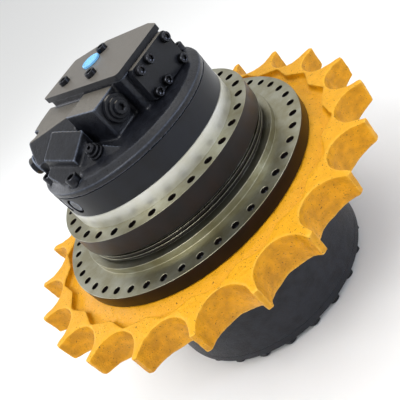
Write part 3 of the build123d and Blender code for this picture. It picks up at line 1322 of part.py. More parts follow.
spring_inner_r = BRAKE_PISTON_INNER_R + BRAKE_SPRING_T
spring_outer_r = brake_piston_r - BRAKE_SPRING_T
brake_spring = turned(
    (
        (spring_inner_r, CASING_TOP),
        (spring_inner_r, CASING_TOP - BRAKE_SPRING_T),
        (spring_outer_r - BRAKE_SPRING_T, brake_piston_top + LOOSE),
        (spring_outer_r, brake_piston_top + LOOSE),
        (spring_outer_r, brake_piston_top + LOOSE + BRAKE_SPRING_T),
        (spring_inner_r + BRAKE_SPRING_T, CASING_TOP),
    )
)
save(brake_spring, "brake_spring")
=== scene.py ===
"""Looks of an excavator final drive: finishes, cast forms, fasteners, studio light and camera.

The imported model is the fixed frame. Lengths named _mm are millimetres, all others are metres, and +Z runs
along the turning axis towards the motor.
"""
import json
import logging
import math
from dataclasses import dataclass
from enum import Enum

import bmesh
import bpy
from mathutils import Matrix, Vector, noise
from mathutils.bvhtree import BVHTree


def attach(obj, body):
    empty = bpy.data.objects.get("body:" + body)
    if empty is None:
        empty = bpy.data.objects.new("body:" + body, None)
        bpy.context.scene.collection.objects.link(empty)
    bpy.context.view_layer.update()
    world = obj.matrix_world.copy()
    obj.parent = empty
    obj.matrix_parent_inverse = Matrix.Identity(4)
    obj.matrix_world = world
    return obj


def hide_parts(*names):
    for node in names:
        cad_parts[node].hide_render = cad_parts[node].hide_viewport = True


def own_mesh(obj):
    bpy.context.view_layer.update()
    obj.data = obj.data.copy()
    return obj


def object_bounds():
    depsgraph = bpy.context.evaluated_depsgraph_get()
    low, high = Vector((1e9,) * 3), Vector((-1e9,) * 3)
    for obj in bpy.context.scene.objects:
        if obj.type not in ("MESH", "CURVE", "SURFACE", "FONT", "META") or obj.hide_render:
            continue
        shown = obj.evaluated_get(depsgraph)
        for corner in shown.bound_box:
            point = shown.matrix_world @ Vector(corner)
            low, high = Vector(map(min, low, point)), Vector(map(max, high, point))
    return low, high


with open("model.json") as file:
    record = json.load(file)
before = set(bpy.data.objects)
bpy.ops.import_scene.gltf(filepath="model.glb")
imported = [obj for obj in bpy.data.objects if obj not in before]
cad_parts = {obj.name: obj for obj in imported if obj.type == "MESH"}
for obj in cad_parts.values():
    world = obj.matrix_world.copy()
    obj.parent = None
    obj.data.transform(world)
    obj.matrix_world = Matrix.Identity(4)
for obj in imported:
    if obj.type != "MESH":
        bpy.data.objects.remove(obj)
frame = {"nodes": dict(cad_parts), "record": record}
CAD_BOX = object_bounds()

LOG = logging.getLogger("final_drive")
MM = 0.001
# Corners closer than this are one corner, and edges turned further than this stay sharp.
WELD = 1e-6
CREASE = math.radians(28.0)
# Inputs and output of a Mix node that mixes two colours.
MIX_A, MIX_B, MIX_OUT = 6, 7, 2
UP = Vector((0.0, 0.0, 1.0))
DOWN = -UP

Colour = tuple[float, float, float, float]
Surface = tuple[dict[str, float], dict[str, bpy.types.NodeSocket]]


class Slot(Enum):
    """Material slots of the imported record."""

    MACHINED_CASTING = "machined_casting"
    BLACK_PAINT = "black_paint"
    HUB_CASTING = "hub_casting"
    SLATE_PAINT = "slate_paint"
    ORANGE_PAINT = "orange_paint"
    BLACK_OXIDE = "black_oxide"
    ZINC_STEEL = "zinc_steel"
    BLUE_PLASTIC = "blue_plastic"
    BEARING_STEEL = "bearing_steel"
    GEAR_STEEL = "gear_steel"
    CARRIER_IRON = "carrier_iron"
    BRONZE = "bronze"
    SEAL_RUBBER = "seal_rubber"
    FRICTION_LINING = "friction_lining"


def linear(hex_code: str) -> Colour:
    """Turn an sRGB hex colour into linear light.

    Args:
        hex_code: Six hex digits after a hash sign.

    Returns:
        Red, green, blue and full opacity.
    """
    parts = [int(hex_code[at:at + 2], 16) / 255 for at in (1, 3, 5)]
    light = [part / 12.92 if part <= 0.04045 else ((part + 0.055) / 1.055) ** 2.4 for part in parts]
    return light[0], light[1], light[2], 1.0


def add_node(
    tree: bpy.types.NodeTree, kind: str, settings: dict | None = None, links: dict | None = None
) -> bpy.types.Node:
    """Add a shader node with its settings and links.

    Args:
        tree: The material's node tree.
        kind: The shader node type's name.
        settings: Values by attribute name, or by input name or number.
        links: Output sockets by the name or number of the input that they feed.

    Returns:
        The new node.
    """
    node = tree.nodes.new(f"ShaderNode{kind}")
    for key, value in (settings or {}).items():
        if isinstance(key, str) and hasattr(node, key):
            setattr(node, key, value)
        else:
            node.inputs[key].default_value = value
    for key, socket in (links or {}).items():
        tree.links.new(socket, node.inputs[key])
    return node


@dataclass(frozen=True)
class Finish:
    """A surface, named for its material and for how it was made."""

    name: str

    def material(self) -> bpy.types.Material:
        """Build the material, or hand out the one that is built already.

        Returns:
            The finish as a material.
        """
        made = bpy.data.materials.get(self.name)
        if made is None:
            made = bpy.data.materials.new(self.name)
            made.use_nodes = True
            tree = made.node_tree
            tree.nodes.clear()
            settings, links = self.draw(tree)
            shader = add_node(tree, "BsdfPrincipled", settings, links)
            add_node(tree, "OutputMaterial", links={"Surface": shader.outputs[0]})
        return made

    def draw(self, tree: bpy.types.NodeTree) -> Surface:
        """Draw the finish's colour, roughness and relief.

        Args:
            tree: The material's node tree.

        Returns:
            The shader's settings, and the sockets that feed it.
        """
        raise NotImplementedError


@dataclass(frozen=True)
class CastEnamel(Finish):
    """Enamel over a sand casting: mottled tone, sandy grain, painted highlights on edges and a paler colour
    on what faces up, painted top light on the orange paint.
    """

    colour: str
    shade: str
    edge_highlight: str
    dust_and_top_light: str
    chip: str
    dust_and_top_light_share: float
    dust_and_top_light_facing: float
    dust_and_top_light_floor_mm: float
    edge_highlight_share: float
    chip_share: float
    roughness: float
    roughness_spread: float
    coat: float
    lump_mm: float
    grain_mm: float
    relief_mm: float
    gloss: float = 0.25
    coat_roughness: float = 0.18
    dust_and_top_light_level: float = 0.9
    dust_and_top_light_edge_mm: float = 6.0
    chip_level: float = 0.70
    chip_reach: float = 0.08
    chip_edge: float = 0.02

    def draw(self, tree: bpy.types.NodeTree) -> Surface:
        """Draw mottling, a paler colour on what faces up, painted edge highlights, chips and casting grain.

        Args:
            tree: The material's node tree.

        Returns:
            The shader's settings, and the sockets that feed it.
        """
        place = add_node(tree, "TexCoord").outputs["Object"]
        surface = add_node(tree, "NewGeometry")
        lumps = add_node(
            tree, "TexNoise", {"Scale": 1 / (self.lump_mm * MM), "Detail": 3.0}, {"Vector": place}
        ).outputs[0]
        # Moulding sand is a few tenths of a millimetre, too fine to show, so its grain is drawn coarser.
        grain = add_node(
            tree, "TexNoise",
            {"Scale": 1 / (self.grain_mm * MM), "Detail": 5.0, "Roughness": 0.62}, {"Vector": place},
        ).outputs[0]
        mottle = add_node(tree, "MapRange", {"From Min": 0.36, "From Max": 0.62}, {"Value": lumps}).outputs[0]
        tone = add_node(
            tree, "Mix",
            {"data_type": "RGBA", MIX_A: linear(self.shade), MIX_B: linear(self.colour)}, {0: mottle},
        ).outputs[MIX_OUT]
        # A paler colour on faces that look up above a set height; on the orange paint it is painted top
        # light.
        facing = add_node(tree, "SeparateXYZ", links={0: surface.outputs["Normal"]}).outputs["Z"]
        lying = add_node(
            tree, "MapRange",
            {
                "interpolation_type": "SMOOTHSTEP", "From Min": self.dust_and_top_light_facing,
                "From Max": (1 - self.dust_and_top_light_level) * self.dust_and_top_light_facing + self.dust_and_top_light_level,
                "To Max": self.dust_and_top_light_share,
            },
            {"Value": facing},
        ).outputs[0]
        height = add_node(tree, "SeparateXYZ", links={0: place}).outputs["Z"]
        raised = add_node(
            tree, "MapRange",
            {
                "From Min": (self.dust_and_top_light_floor_mm - self.dust_and_top_light_edge_mm) * MM,
                "From Max": (self.dust_and_top_light_floor_mm + self.dust_and_top_light_edge_mm) * MM,
            },
            {"Value": height},
        ).outputs[0]
        reached = add_node(tree, "Math", {"operation": "MULTIPLY"}, {0: lying, 1: raised}).outputs[0]
        settled = add_node(
            tree, "MapRange", {"From Min": 0.25, "From Max": 0.6, "To Min": 0.6}, {"Value": grain}
        ).outputs[0]
        dust_and_top_light_mask = add_node(tree, "Math", {"operation": "MULTIPLY"}, {0: reached, 1: settled}).outputs[0]
        dust_and_top_lit = add_node(
            tree, "Mix", {"data_type": "RGBA", MIX_B: linear(self.dust_and_top_light)}, {0: dust_and_top_light_mask, MIX_A: tone}
        ).outputs[MIX_OUT]
        # Painted highlight: a paler colour on sharp edges, found by pointiness.
        edge = add_node(
            tree, "MapRange",
            {
                "interpolation_type": "SMOOTHSTEP", "From Min": 0.505, "From Max": 0.57,
                "To Max": self.edge_highlight_share,
            },
            {"Value": surface.outputs["Pointiness"]},
        ).outputs[0]
        edge_highlight = add_node(
            tree, "Mix", {"data_type": "RGBA", MIX_B: linear(self.edge_highlight)}, {0: edge, MIX_A: dust_and_top_lit}
        ).outputs[MIX_OUT]
        scarce = self.chip_level - self.chip_reach * self.chip_share
        bare = add_node(
            tree, "MapRange", {"From Min": scarce, "From Max": scarce + self.chip_edge},
            {"Value": grain},
        ).outputs[0]
        chipped = add_node(
            tree, "Mix", {"data_type": "RGBA", MIX_B: linear(self.chip)}, {0: bare, MIX_A: edge_highlight}
        ).outputs[MIX_OUT]
        dullness = add_node(
            tree, "MapRange",
            {
                "From Min": 0.3, "From Max": 0.7, "To Min": self.roughness - self.roughness_spread,
                "To Max": self.roughness + self.roughness_spread,
            },
            {"Value": grain},
        ).outputs[0]
        relief = add_node(tree, "Math", {"operation": "ADD"}, {0: lumps, 1: grain}).outputs[0]
        bump = add_node(
            tree, "Bump", {"Strength": 0.8, "Distance": self.relief_mm * MM}, {"Height": relief}
        ).outputs[0]
        return (
            {
                "Specular IOR Level": self.gloss, "Coat Weight": self.coat,
                "Coat Roughness": self.coat_roughness,
            },
            {"Base Color": chipped, "Roughness": dullness, "Normal": bump},
        )


@dataclass(frozen=True)
class TurnedCasting(Finish):
    """A casting turned bare on its faces and on one band of its side, dark everywhere else."""

    steel: str
    film: str
    side: str
    side_tint: str
    face_roughness: float
    side_roughness: float
    mark_mm: float
    film_mm: float
    band_low_mm: float
    band_high_mm: float
    face_top_mm: float
    gloss: float = 0.25
    band_edge_mm: float = 0.4
    mark_dulling: float = 0.22
    mark_depth_mm: float = 0.15

    def draw(self, tree: bpy.types.NodeTree) -> Surface:
        """Draw lathe marks, an oily film and the dark sides.

        Args:
            tree: The material's node tree.

        Returns:
            The shader's settings, and the sockets that feed it.
        """
        place = add_node(tree, "TexCoord").outputs["Object"]
        surface = add_node(tree, "NewGeometry")
        axes = add_node(tree, "SeparateXYZ", links={0: place})
        height = axes.outputs["Z"]
        flat = add_node(tree, "CombineXYZ", links={0: axes.outputs["X"], 1: axes.outputs["Y"]}).outputs[0]
        radius = add_node(tree, "VectorMath", {"operation": "LENGTH"}, {0: flat}).outputs["Value"]
        along = add_node(tree, "Math", {"operation": "ADD"}, {0: radius, 1: height}).outputs[0]
        # Lathe marks are a few tenths of a millimetre apart, too fine to show, so they are drawn coarser.
        marks = add_node(
            tree, "TexNoise",
            {"noise_dimensions": "1D", "Scale": 1 / (self.mark_mm * MM), "Detail": 2.0}, {"W": along},
        ).outputs[0]
        stain = add_node(
            tree, "TexNoise",
            {"Scale": 1 / (self.film_mm * MM), "Detail": 5.0, "Roughness": 0.6}, {"Vector": place},
        ).outputs[0]
        facing = add_node(tree, "SeparateXYZ", links={0: surface.outputs["Normal"]}).outputs["Z"]
        face = add_node(
            tree, "MapRange",
            {"interpolation_type": "SMOOTHSTEP", "From Min": 0.4, "From Max": 0.7}, {"Value": facing},
        ).outputs[0]
        over = add_node(
            tree, "MapRange",
            {"From Min": (self.band_low_mm - self.band_edge_mm) * MM, "From Max": self.band_low_mm * MM},
            {"Value": height},
        ).outputs[0]
        under = add_node(
            tree, "MapRange",
            {
                "From Min": self.band_high_mm * MM, "From Max": (self.band_high_mm + self.band_edge_mm) * MM,
                "To Min": 1.0, "To Max": 0.0,
            },
            {"Value": height},
        ).outputs[0]
        band = add_node(tree, "Math", {"operation": "MULTIPLY"}, {0: over, 1: under}).outputs[0]
        low = add_node(
            tree, "Math", {"operation": "LESS_THAN", 1: self.face_top_mm * MM}, {0: height}
        ).outputs[0]
        cut_face = add_node(tree, "Math", {"operation": "MULTIPLY"}, {0: face, 1: low}).outputs[0]
        bare = add_node(tree, "Math", {"operation": "MAXIMUM"}, {0: cut_face, 1: band}).outputs[0]
        filmed = add_node(tree, "MapRange", {"From Min": 0.38, "From Max": 0.62}, {"Value": stain}).outputs[0]
        metal = add_node(
            tree, "Mix",
            {"data_type": "RGBA", MIX_A: linear(self.steel), MIX_B: linear(self.film)}, {0: filmed},
        ).outputs[MIX_OUT]
        dark = add_node(
            tree, "Mix",
            {"data_type": "RGBA", MIX_A: linear(self.side), MIX_B: linear(self.side_tint)}, {0: filmed},
        ).outputs[MIX_OUT]
        colour = add_node(
            tree, "Mix", {"data_type": "RGBA"}, {0: bare, MIX_A: dark, MIX_B: metal}
        ).outputs[MIX_OUT]
        dullness = add_node(
            tree, "MapRange",
            {"To Min": self.side_roughness, "To Max": self.face_roughness}, {"Value": bare},
        ).outputs[0]
        ridged = add_node(
            tree, "Math",
            {"operation": "MULTIPLY_ADD", 1: self.mark_dulling}, {0: marks, 2: dullness},
        ).outputs[0]
        bump = add_node(
            tree, "Bump",
            {"Strength": 0.35, "Distance": self.mark_depth_mm * MM}, {"Height": marks},
        ).outputs[0]
        return (
            {"Specular IOR Level": self.gloss},
            {"Base Color": colour, "Metallic": bare, "Roughness": ridged, "Normal": bump},
        )


@dataclass(frozen=True)
class WorkedMetal(Finish):
    """Bare metal that was ground, cut, plated or blackened: streaks along one way and a faint stain."""

    colour: str
    stain: str
    roughness: float
    roughness_spread: float
    streak_mm: float
    streak_stretch: float
    stain_mm: float
    relief_mm: float

    def draw(self, tree: bpy.types.NodeTree) -> Surface:
        """Draw streaks and stain.

        Args:
            tree: The material's node tree.

        Returns:
            The shader's settings, and the sockets that feed it.
        """
        place = add_node(tree, "TexCoord").outputs["Object"]
        drawn = add_node(
            tree, "Mapping", {"Scale": (1.0, 1.0, self.streak_stretch)}, {"Vector": place}
        ).outputs[0]
        # Cutting and grinding lines are finer than a tenth of a millimetre, so they are drawn coarser.
        streaks = add_node(
            tree, "TexNoise", {"Scale": 1 / (self.streak_mm * MM), "Detail": 4.0}, {"Vector": drawn}
        ).outputs[0]
        cloud = add_node(
            tree, "TexNoise", {"Scale": 1 / (self.stain_mm * MM), "Detail": 4.0}, {"Vector": place}
        ).outputs[0]
        share = add_node(tree, "MapRange", {"From Min": 0.42, "From Max": 0.72}, {"Value": cloud}).outputs[0]
        colour = add_node(
            tree, "Mix",
            {"data_type": "RGBA", MIX_A: linear(self.colour), MIX_B: linear(self.stain)}, {0: share},
        ).outputs[MIX_OUT]
        dullness = add_node(
            tree, "MapRange",
            {
                "From Min": 0.3, "From Max": 0.7, "To Min": self.roughness - self.roughness_spread,
                "To Max": self.roughness + self.roughness_spread,
            },
            {"Value": streaks},
        ).outputs[0]
        bump = add_node(
            tree, "Bump", {"Strength": 0.4, "Distance": self.relief_mm * MM}, {"Height": streaks}
        ).outputs[0]
        return {"Metallic": 1.0}, {"Base Color": colour, "Roughness": dullness, "Normal": bump}


@dataclass(frozen=True)
class MouldedPolymer(Finish):
    """Moulded plastic or rubber: a fine pebbled skin with a faint drift of tone."""

    colour: str
    shade: str
    roughness: float
    ior: float
    skin_mm: float
    relief_mm: float
    roughness_spread: float = 0.08

    def draw(self, tree: bpy.types.NodeTree) -> Surface:
        """Draw the moulded skin.

        Args:
            tree: The material's node tree.

        Returns:
            The shader's settings, and the sockets that feed it.
        """
        place = add_node(tree, "TexCoord").outputs["Object"]
        skin = add_node(
            tree, "TexNoise", {"Scale": 1 / (self.skin_mm * MM), "Detail": 3.0}, {"Vector": place}
        ).outputs[0]
        colour = add_node(
            tree, "Mix",
            {"data_type": "RGBA", MIX_A: linear(self.shade), MIX_B: linear(self.colour)}, {0: skin},
        ).outputs[MIX_OUT]
        dullness = add_node(
            tree, "MapRange",
            {
                "To Min": self.roughness - self.roughness_spread,
                "To Max": self.roughness + self.roughness_spread,
            },
            {"Value": skin},
        ).outputs[0]
        bump = add_node(
            tree, "Bump", {"Strength": 0.5, "Distance": self.relief_mm * MM}, {"Height": skin}
        ).outputs[0]
        return {"IOR": self.ior}, {"Base Color": colour, "Roughness": dullness, "Normal": bump}


FINISHES: dict[Slot, Finish] = {
    # Grey iron, turned: a bright locating band whose lathe marks glint, then blue-black enamel above it.
    Slot.MACHINED_CASTING: TurnedCasting(
        "turned_iron_under_black_enamel", steel="#e2e2de", film="#d3d1c4", side="#121317",
        side_tint="#171a21", face_roughness=0.36, side_roughness=0.24, mark_mm=0.9, film_mm=60.0,
        band_low_mm=-1.0, band_high_mm=26.0, face_top_mm=26.5,
    ),
    # Grey iron, turned and oiled: olive-grey faces under an oil film, nearly black edges with a brown cast.
    Slot.HUB_CASTING: TurnedCasting(
        "oiled_turned_iron", steel="#a8a694", film="#938e74", side="#0f0d0e", side_tint="#1a1211",
        face_roughness=0.26, side_roughness=0.24, mark_mm=1.1, film_mm=38.0, band_low_mm=-72.0,
        band_high_mm=-60.0, face_top_mm=1.0,
    ),
    # Alkyd enamel sprayed on grey iron: blue-black with a soft shine, bluish painted highlights on edges, and
    # a paler grey on what faces up high on the casting.
    Slot.BLACK_PAINT: CastEnamel(
        "sprayed_black_enamel_on_cast_iron", colour="#17191f", shade="#101116", edge_highlight="#7d879a",
        dust_and_top_light="#6f6a61", chip="#3a3b40", dust_and_top_light_share=0.95, dust_and_top_light_facing=0.93, dust_and_top_light_floor_mm=118.0,
        edge_highlight_share=0.7, chip_share=0.25, roughness=0.34, roughness_spread=0.10, coat=0.10, lump_mm=14.0,
        grain_mm=2.4, relief_mm=0.6,
    ),
    # Alkyd enamel sprayed on turned iron: dull slate that picks up a cool grey light, a little paler on what
    # faces up.
    Slot.SLATE_PAINT: CastEnamel(
        "sprayed_slate_enamel_on_iron", colour="#24262d", shade="#1b1c21", edge_highlight="#4d5461", dust_and_top_light="#3d3f45",
        chip="#101012", dust_and_top_light_share=0.2, dust_and_top_light_facing=0.5, dust_and_top_light_floor_mm=-400.0, edge_highlight_share=0.0, chip_share=0.2,
        roughness=0.46, roughness_spread=0.10, coat=0.05, lump_mm=18.0, grain_mm=2.8, relief_mm=0.5,
    ),
    # Alkyd enamel brushed on rough cast steel: orange-yellow with pale painted highlights on its rims,
    # painted top light on what faces up, and dark specks.
    Slot.ORANGE_PAINT: CastEnamel(
        "brushed_orange_enamel_on_cast_steel", colour="#dc9a06", shade="#c08403", edge_highlight="#f6c048",
        dust_and_top_light="#e8a61a", chip="#6e4a10", dust_and_top_light_share=0.8, dust_and_top_light_facing=0.35, dust_and_top_light_floor_mm=-400.0,
        edge_highlight_share=0.85, chip_share=0.9, roughness=0.50, roughness_spread=0.12, coat=0.06, lump_mm=16.0,
        grain_mm=3.0, relief_mm=1.6,
    ),
    # Steel, hot-blackened: nearly black, with an oily glint on the corners.
    Slot.BLACK_OXIDE: WorkedMetal(
        "black_oxide_steel", colour="#3a3b3f", stain="#26262a", roughness=0.34, roughness_spread=0.10,
        streak_mm=1.2, streak_stretch=1.0, stain_mm=9.0, relief_mm=0.05,
    ),
    # Steel, zinc plated: pale grey with a faint yellow cast.
    Slot.ZINC_STEEL: WorkedMetal(
        "zinc_plated_steel", colour="#c8c4b4", stain="#b2a989", roughness=0.30, roughness_spread=0.08,
        streak_mm=1.5, streak_stretch=1.0, stain_mm=8.0, relief_mm=0.04,
    ),
    # Polyethylene, injection moulded: soft sky blue with a waxy sheen.
    Slot.BLUE_PLASTIC: MouldedPolymer(
        "moulded_blue_polyethylene", colour="#86caf7", shade="#6cb4ea", roughness=0.42, ior=1.51, skin_mm=1.6,
        relief_mm=0.05,
    ),
    # Chromium bearing steel, ground: clean and mirror-like, with fine lines round the axis.
    Slot.BEARING_STEEL: WorkedMetal(
        "ground_bearing_steel", colour="#d2d2d4", stain="#bebec2", roughness=0.16, roughness_spread=0.05,
        streak_mm=2.5, streak_stretch=9.0, stain_mm=30.0, relief_mm=0.02,
    ),
    # Case-hardened steel, hobbed and ground: mid grey with a slight straw cast.
    Slot.GEAR_STEEL: WorkedMetal(
        "ground_hardened_steel", colour="#b4b4b5", stain="#a09c92", roughness=0.26, roughness_spread=0.07,
        streak_mm=3.0, streak_stretch=0.15, stain_mm=22.0, relief_mm=0.04,
    ),
    # Nodular iron, milled: dull dark grey with broad cutter marks.
    Slot.CARRIER_IRON: WorkedMetal(
        "milled_nodular_iron", colour="#77777a", stain="#5e5e60", roughness=0.44, roughness_spread=0.10,
        streak_mm=4.0, streak_stretch=1.0, stain_mm=16.0, relief_mm=0.12,
    ),
    # Bearing bronze, turned: warm and satiny, browner where oil has sat.
    Slot.BRONZE: WorkedMetal(
        "turned_bearing_bronze", colour="#c99a5c", stain="#a57b45", roughness=0.30, roughness_spread=0.08,
        streak_mm=2.0, streak_stretch=6.0, stain_mm=14.0, relief_mm=0.04,
    ),
    # Nitrile rubber, moulded: matt black with a fine pebble.
    Slot.SEAL_RUBBER: MouldedPolymer(
        "moulded_nitrile_rubber", colour="#1b1b1c", shade="#131314", roughness=0.62, ior=1.52, skin_mm=1.2,
        relief_mm=0.08,
    ),
    # Sintered lining on steel, pressed: brown-grey and grainy, with no shine.
    Slot.FRICTION_LINING: WorkedMetal(
        "sintered_lining_on_steel", colour="#7d6a5c", stain="#5c4c42", roughness=0.58, roughness_spread=0.12,
        streak_mm=1.4, streak_stretch=1.0, stain_mm=6.0, relief_mm=0.10,
    ),
}

# Alkyd enamel sprayed on milled steel: the same black, even and close, with a paler grey on its top faces.
PLATE_ENAMEL = CastEnamel(
    "sprayed_black_enamel_on_milled_steel", colour="#16181d", shade="#101116", edge_highlight="#16181d", dust_and_top_light="#706b63",
    chip="#2c2d31", dust_and_top_light_share=0.9, dust_and_top_light_facing=0.93, dust_and_top_light_floor_mm=118.0, edge_highlight_share=0.0, chip_share=0.15,
    roughness=0.36, roughness_spread=0.08, coat=0.08, lump_mm=12.0, grain_mm=2.2, relief_mm=0.25,
)

BODY_OF: dict[str, str] = {
    node: body for body, nodes in frame["record"]["behaviour"]["bodies"].items() for node in nodes
}
SLOT_OF: dict[str, Slot] = {
    subpart["node"]: Slot(subpart["material_slot"]) for subpart in frame["record"]["subparts"]
}


def welded(node: str) -> bmesh.types.BMesh:
    """Copy a node's mesh and join the corners that its faces share.

    Args:
        node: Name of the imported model's node.

    Returns:
        The joined mesh, for the caller to free.
    """
    mesh = bmesh.new()
    mesh.from_mesh(frame["nodes"][node].data)
    bmesh.ops.remove_doubles(mesh, verts=mesh.verts, dist=WELD)
    return mesh


def kept(mesh: bmesh.types.BMesh, name: str) -> bpy.types.Mesh:
    """Keep a finished working mesh under a name.

    Args:
        mesh: The working mesh, which is freed.
        name: The kept mesh's name.

    Returns:
        The kept mesh.
    """
    made = bpy.data.meshes.new(name)
    mesh.to_mesh(made)
    mesh.free()
    return made


def solids(node: str) -> list[list[Vector]]:
    """Find the separate solids of a node.

    Args:
        node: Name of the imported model's node.

    Returns:
        The points of each solid.
    """
    mesh = welded(node)
    waiting = dict.fromkeys(mesh.verts)
    found = []
    while waiting:
        edge = [waiting.popitem()[0]]
        points = []
        while edge:
            corner = edge.pop()
            points.append(corner.co.copy())
            for link in corner.link_edges:
                other = link.other_vert(corner)
                if other in waiting:
                    del waiting[other]
                    edge.append(other)
        found.append(points)
    mesh.free()
    return found


def show(
    name: str, mesh: bpy.types.Mesh, body: str, slot: Slot, finish: Finish | None = None
) -> bpy.types.Object:
    """Show a mesh on a body and in a finish.

    Args:
        name: The piece's name.
        mesh: The mesh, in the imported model's frame.
        body: The body that the piece moves with.
        slot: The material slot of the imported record.
        finish: A finish other than that of the slot.

    Returns:
        The new piece.
    """
    finish = finish or FINISHES[slot]
    piece = bpy.data.objects.new(name, mesh)
    bpy.context.scene.collection.objects.link(piece)
    mesh.materials.clear()
    mesh.materials.append(finish.material())
    mesh.shade_smooth()
    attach(piece, body)
    return piece


def stand_in(node: str, mesh: bpy.types.Mesh, suffix: str, finish: Finish | None = None) -> bpy.types.Object:
    """Show a mesh in a node's stead, on its body and in its finish.

    Args:
        node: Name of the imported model's node that the mesh stands for.
        mesh: The mesh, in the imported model's frame.
        suffix: What the piece's name adds to the node's name.
        finish: A finish other than that of the node's slot.

    Returns:
        The new piece.
    """
    piece = show(f"{node}.{suffix}", mesh, BODY_OF[node], SLOT_OF[node], finish)
    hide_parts(node)
    return piece


def surface_under(node: str, x_mm: float, y_mm: float) -> tuple[Vector, Vector]:
    """Find a node's top surface at a point of the plan.

    Args:
        node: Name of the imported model's node.
        x_mm: The point's X.
        y_mm: The point's Y.

    Returns:
        The place on the surface, and the surface's normal there.
    """
    above = Vector((x_mm * MM, y_mm * MM, CAD_BOX[1].z + MM))
    mesh = welded(node)
    spot, normal, _, _ = BVHTree.FromBMesh(mesh).ray_cast(above, DOWN)
    mesh.free()
    if spot is None:
        raise ValueError(f"nothing of {node} lies under {x_mm}, {y_mm}")
    return spot, normal


@dataclass(frozen=True)
class MachinedPiece:
    """A machined node with its sharp edges broken, as a file or a chamfer tool leaves them."""

    node: str
    edge_mm: float
    finish: Finish | None = None
    flat_deg: float = 0.4
    corner_deg: float = 32.0
    edge_segments: int = 2
    face_weight: int = 80

    def build(self) -> bpy.types.Object:
        """Make the piece whole-faced, round its edges and show it.

        Returns:
            The new piece.
        """
        mesh = welded(self.node)
        bmesh.ops.dissolve_limit(
            mesh, angle_limit=math.radians(self.flat_deg), verts=mesh.verts, edges=mesh.edges
        )
        piece = stand_in(self.node, kept(mesh, f"{self.node}.machined"), "machined", self.finish)
        bevel = piece.modifiers.new("broken_edges", "BEVEL")
        bevel.width = self.edge_mm * MM
        bevel.segments = self.edge_segments
        bevel.limit_method = "ANGLE"
        bevel.angle_limit = math.radians(self.corner_deg)
        normals = piece.modifiers.new("flat_faces", "WEIGHTED_NORMAL")
        normals.mode = "FACE_AREA"
        normals.weight = self.face_weight
        return piece


@dataclass(frozen=True)
class Seat:
    """Where a fastener sits: its inner end, its outward axis and its length."""

    foot: Vector
    axis: Vector
    length: float


def seats(node: str, outward: Vector | None) -> list[Seat]:
    """Find where the fasteners of a node sit.

    Args:
        node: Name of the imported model's node.
        outward: Direction from inner end to head, or None where each one points away from the turning axis.

    Returns:
        One seat for each solid of the node.
    """
    found = []
    for points in solids(node):
        middle = sum(points, Vector()) / len(points)
        axis = (outward or Vector((middle.x, middle.y, 0.0))).normalized()
        side = axis.orthogonal().normalized()
        other = axis.cross(side)
        low, high = min(point @ axis for point in points), max(point @ axis for point in points)
        across = [
            (min(point @ way for point in points) + max(point @ way for point in points)) / 2
            for way in (side, other)
        ]
        found.append(Seat(axis * low + side * across[0] + other * across[1], axis, high - low))
    return found


@dataclass(frozen=True)
class BoreRelief:
    """Room round a sliding piece, so that the rounded skin of a cast bore stays clear of it."""

    slider: Seat
    wall_low_mm: float
    wall_mm: float
    wall_high_mm: float
    end_low_mm: float
    end_mm: float
    end_high_mm: float

    def clear(self, at: Vector) -> Vector:
        """Move a point of the bore's skin off the sliding piece.

        Args:
            at: The point.

        Returns:
            The point's new place, or the old one where it isn't on the bore.
        """
        way = at - self.slider.foot
        along = way @ self.slider.axis
        across = way - self.slider.axis * along
        radius = across.length / MM
        beyond = max(-along, along - self.slider.length) / MM
        if radius > self.wall_high_mm or beyond > self.end_high_mm:
            return at
        if self.wall_low_mm < radius < self.wall_mm:
            across *= self.wall_mm / radius
        if self.end_low_mm < beyond < self.end_mm:
            along += math.copysign((self.end_mm - beyond) * MM, along)
        return self.slider.foot + self.slider.axis * along + across


@dataclass(frozen=True)
class CastPad:
    """A block on a casting: its top follows the surface, and its sides line up with one level direction."""

    x_mm: float
    y_mm: float
    front: Vector
    width_mm: float
    length_mm: float
    rise_mm: float
    foot_mm: float

    def add(self, mesh: bmesh.types.BMesh, node: str) -> None:
        """Add the block to a casting's mesh, with upright walls down to a foot inside the casting.

        Args:
            mesh: The casting's mesh.
            node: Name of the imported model's node that the block stands on.
        """
        spot, out = surface_under(node, self.x_mm, self.y_mm)
        along = (self.front - out * (self.front @ out)).normalized()
        across = along.cross(out)
        crown = spot + out * self.rise_mm * MM
        corners = [
            crown + (across * self.width_mm * side + along * self.length_mm * end) / 2 * MM
            for side, end in ((-1, -1), (1, -1), (1, 1), (-1, 1))
        ]
        upper = [mesh.verts.new(corner) for corner in corners]
        lower = [mesh.verts.new((corner.x, corner.y, self.foot_mm * MM)) for corner in corners]
        mesh.faces.new(upper)
        mesh.faces.new(lower[::-1])
        for index in range(len(corners)):
            after = (index + 1) % len(corners)
            mesh.faces.new((lower[index], lower[after], upper[after], upper[index]))


@dataclass(frozen=True)
class RootSwell:
    """Thickening of a toothed rim's rear side, full at the tooth roots and gone at the tips."""

    start_mm: float
    end_mm: float
    root_mm: float
    tip_mm: float
    depth_mm: float

    def drop(self, at: Vector) -> float:
        """How far a point of the rim moves to the rear.

        Args:
            at: The point.

        Returns:
            The distance in metres.
        """
        behind = (self.start_mm - at.z / MM) / (self.start_mm - self.end_mm)
        inward = (self.tip_mm - math.hypot(at.x, at.y) / MM) / (self.tip_mm - self.root_mm)
        return self.depth_mm * MM * min(max(behind, 0.0), 1.0) * min(max(inward, 0.0), 1.0)


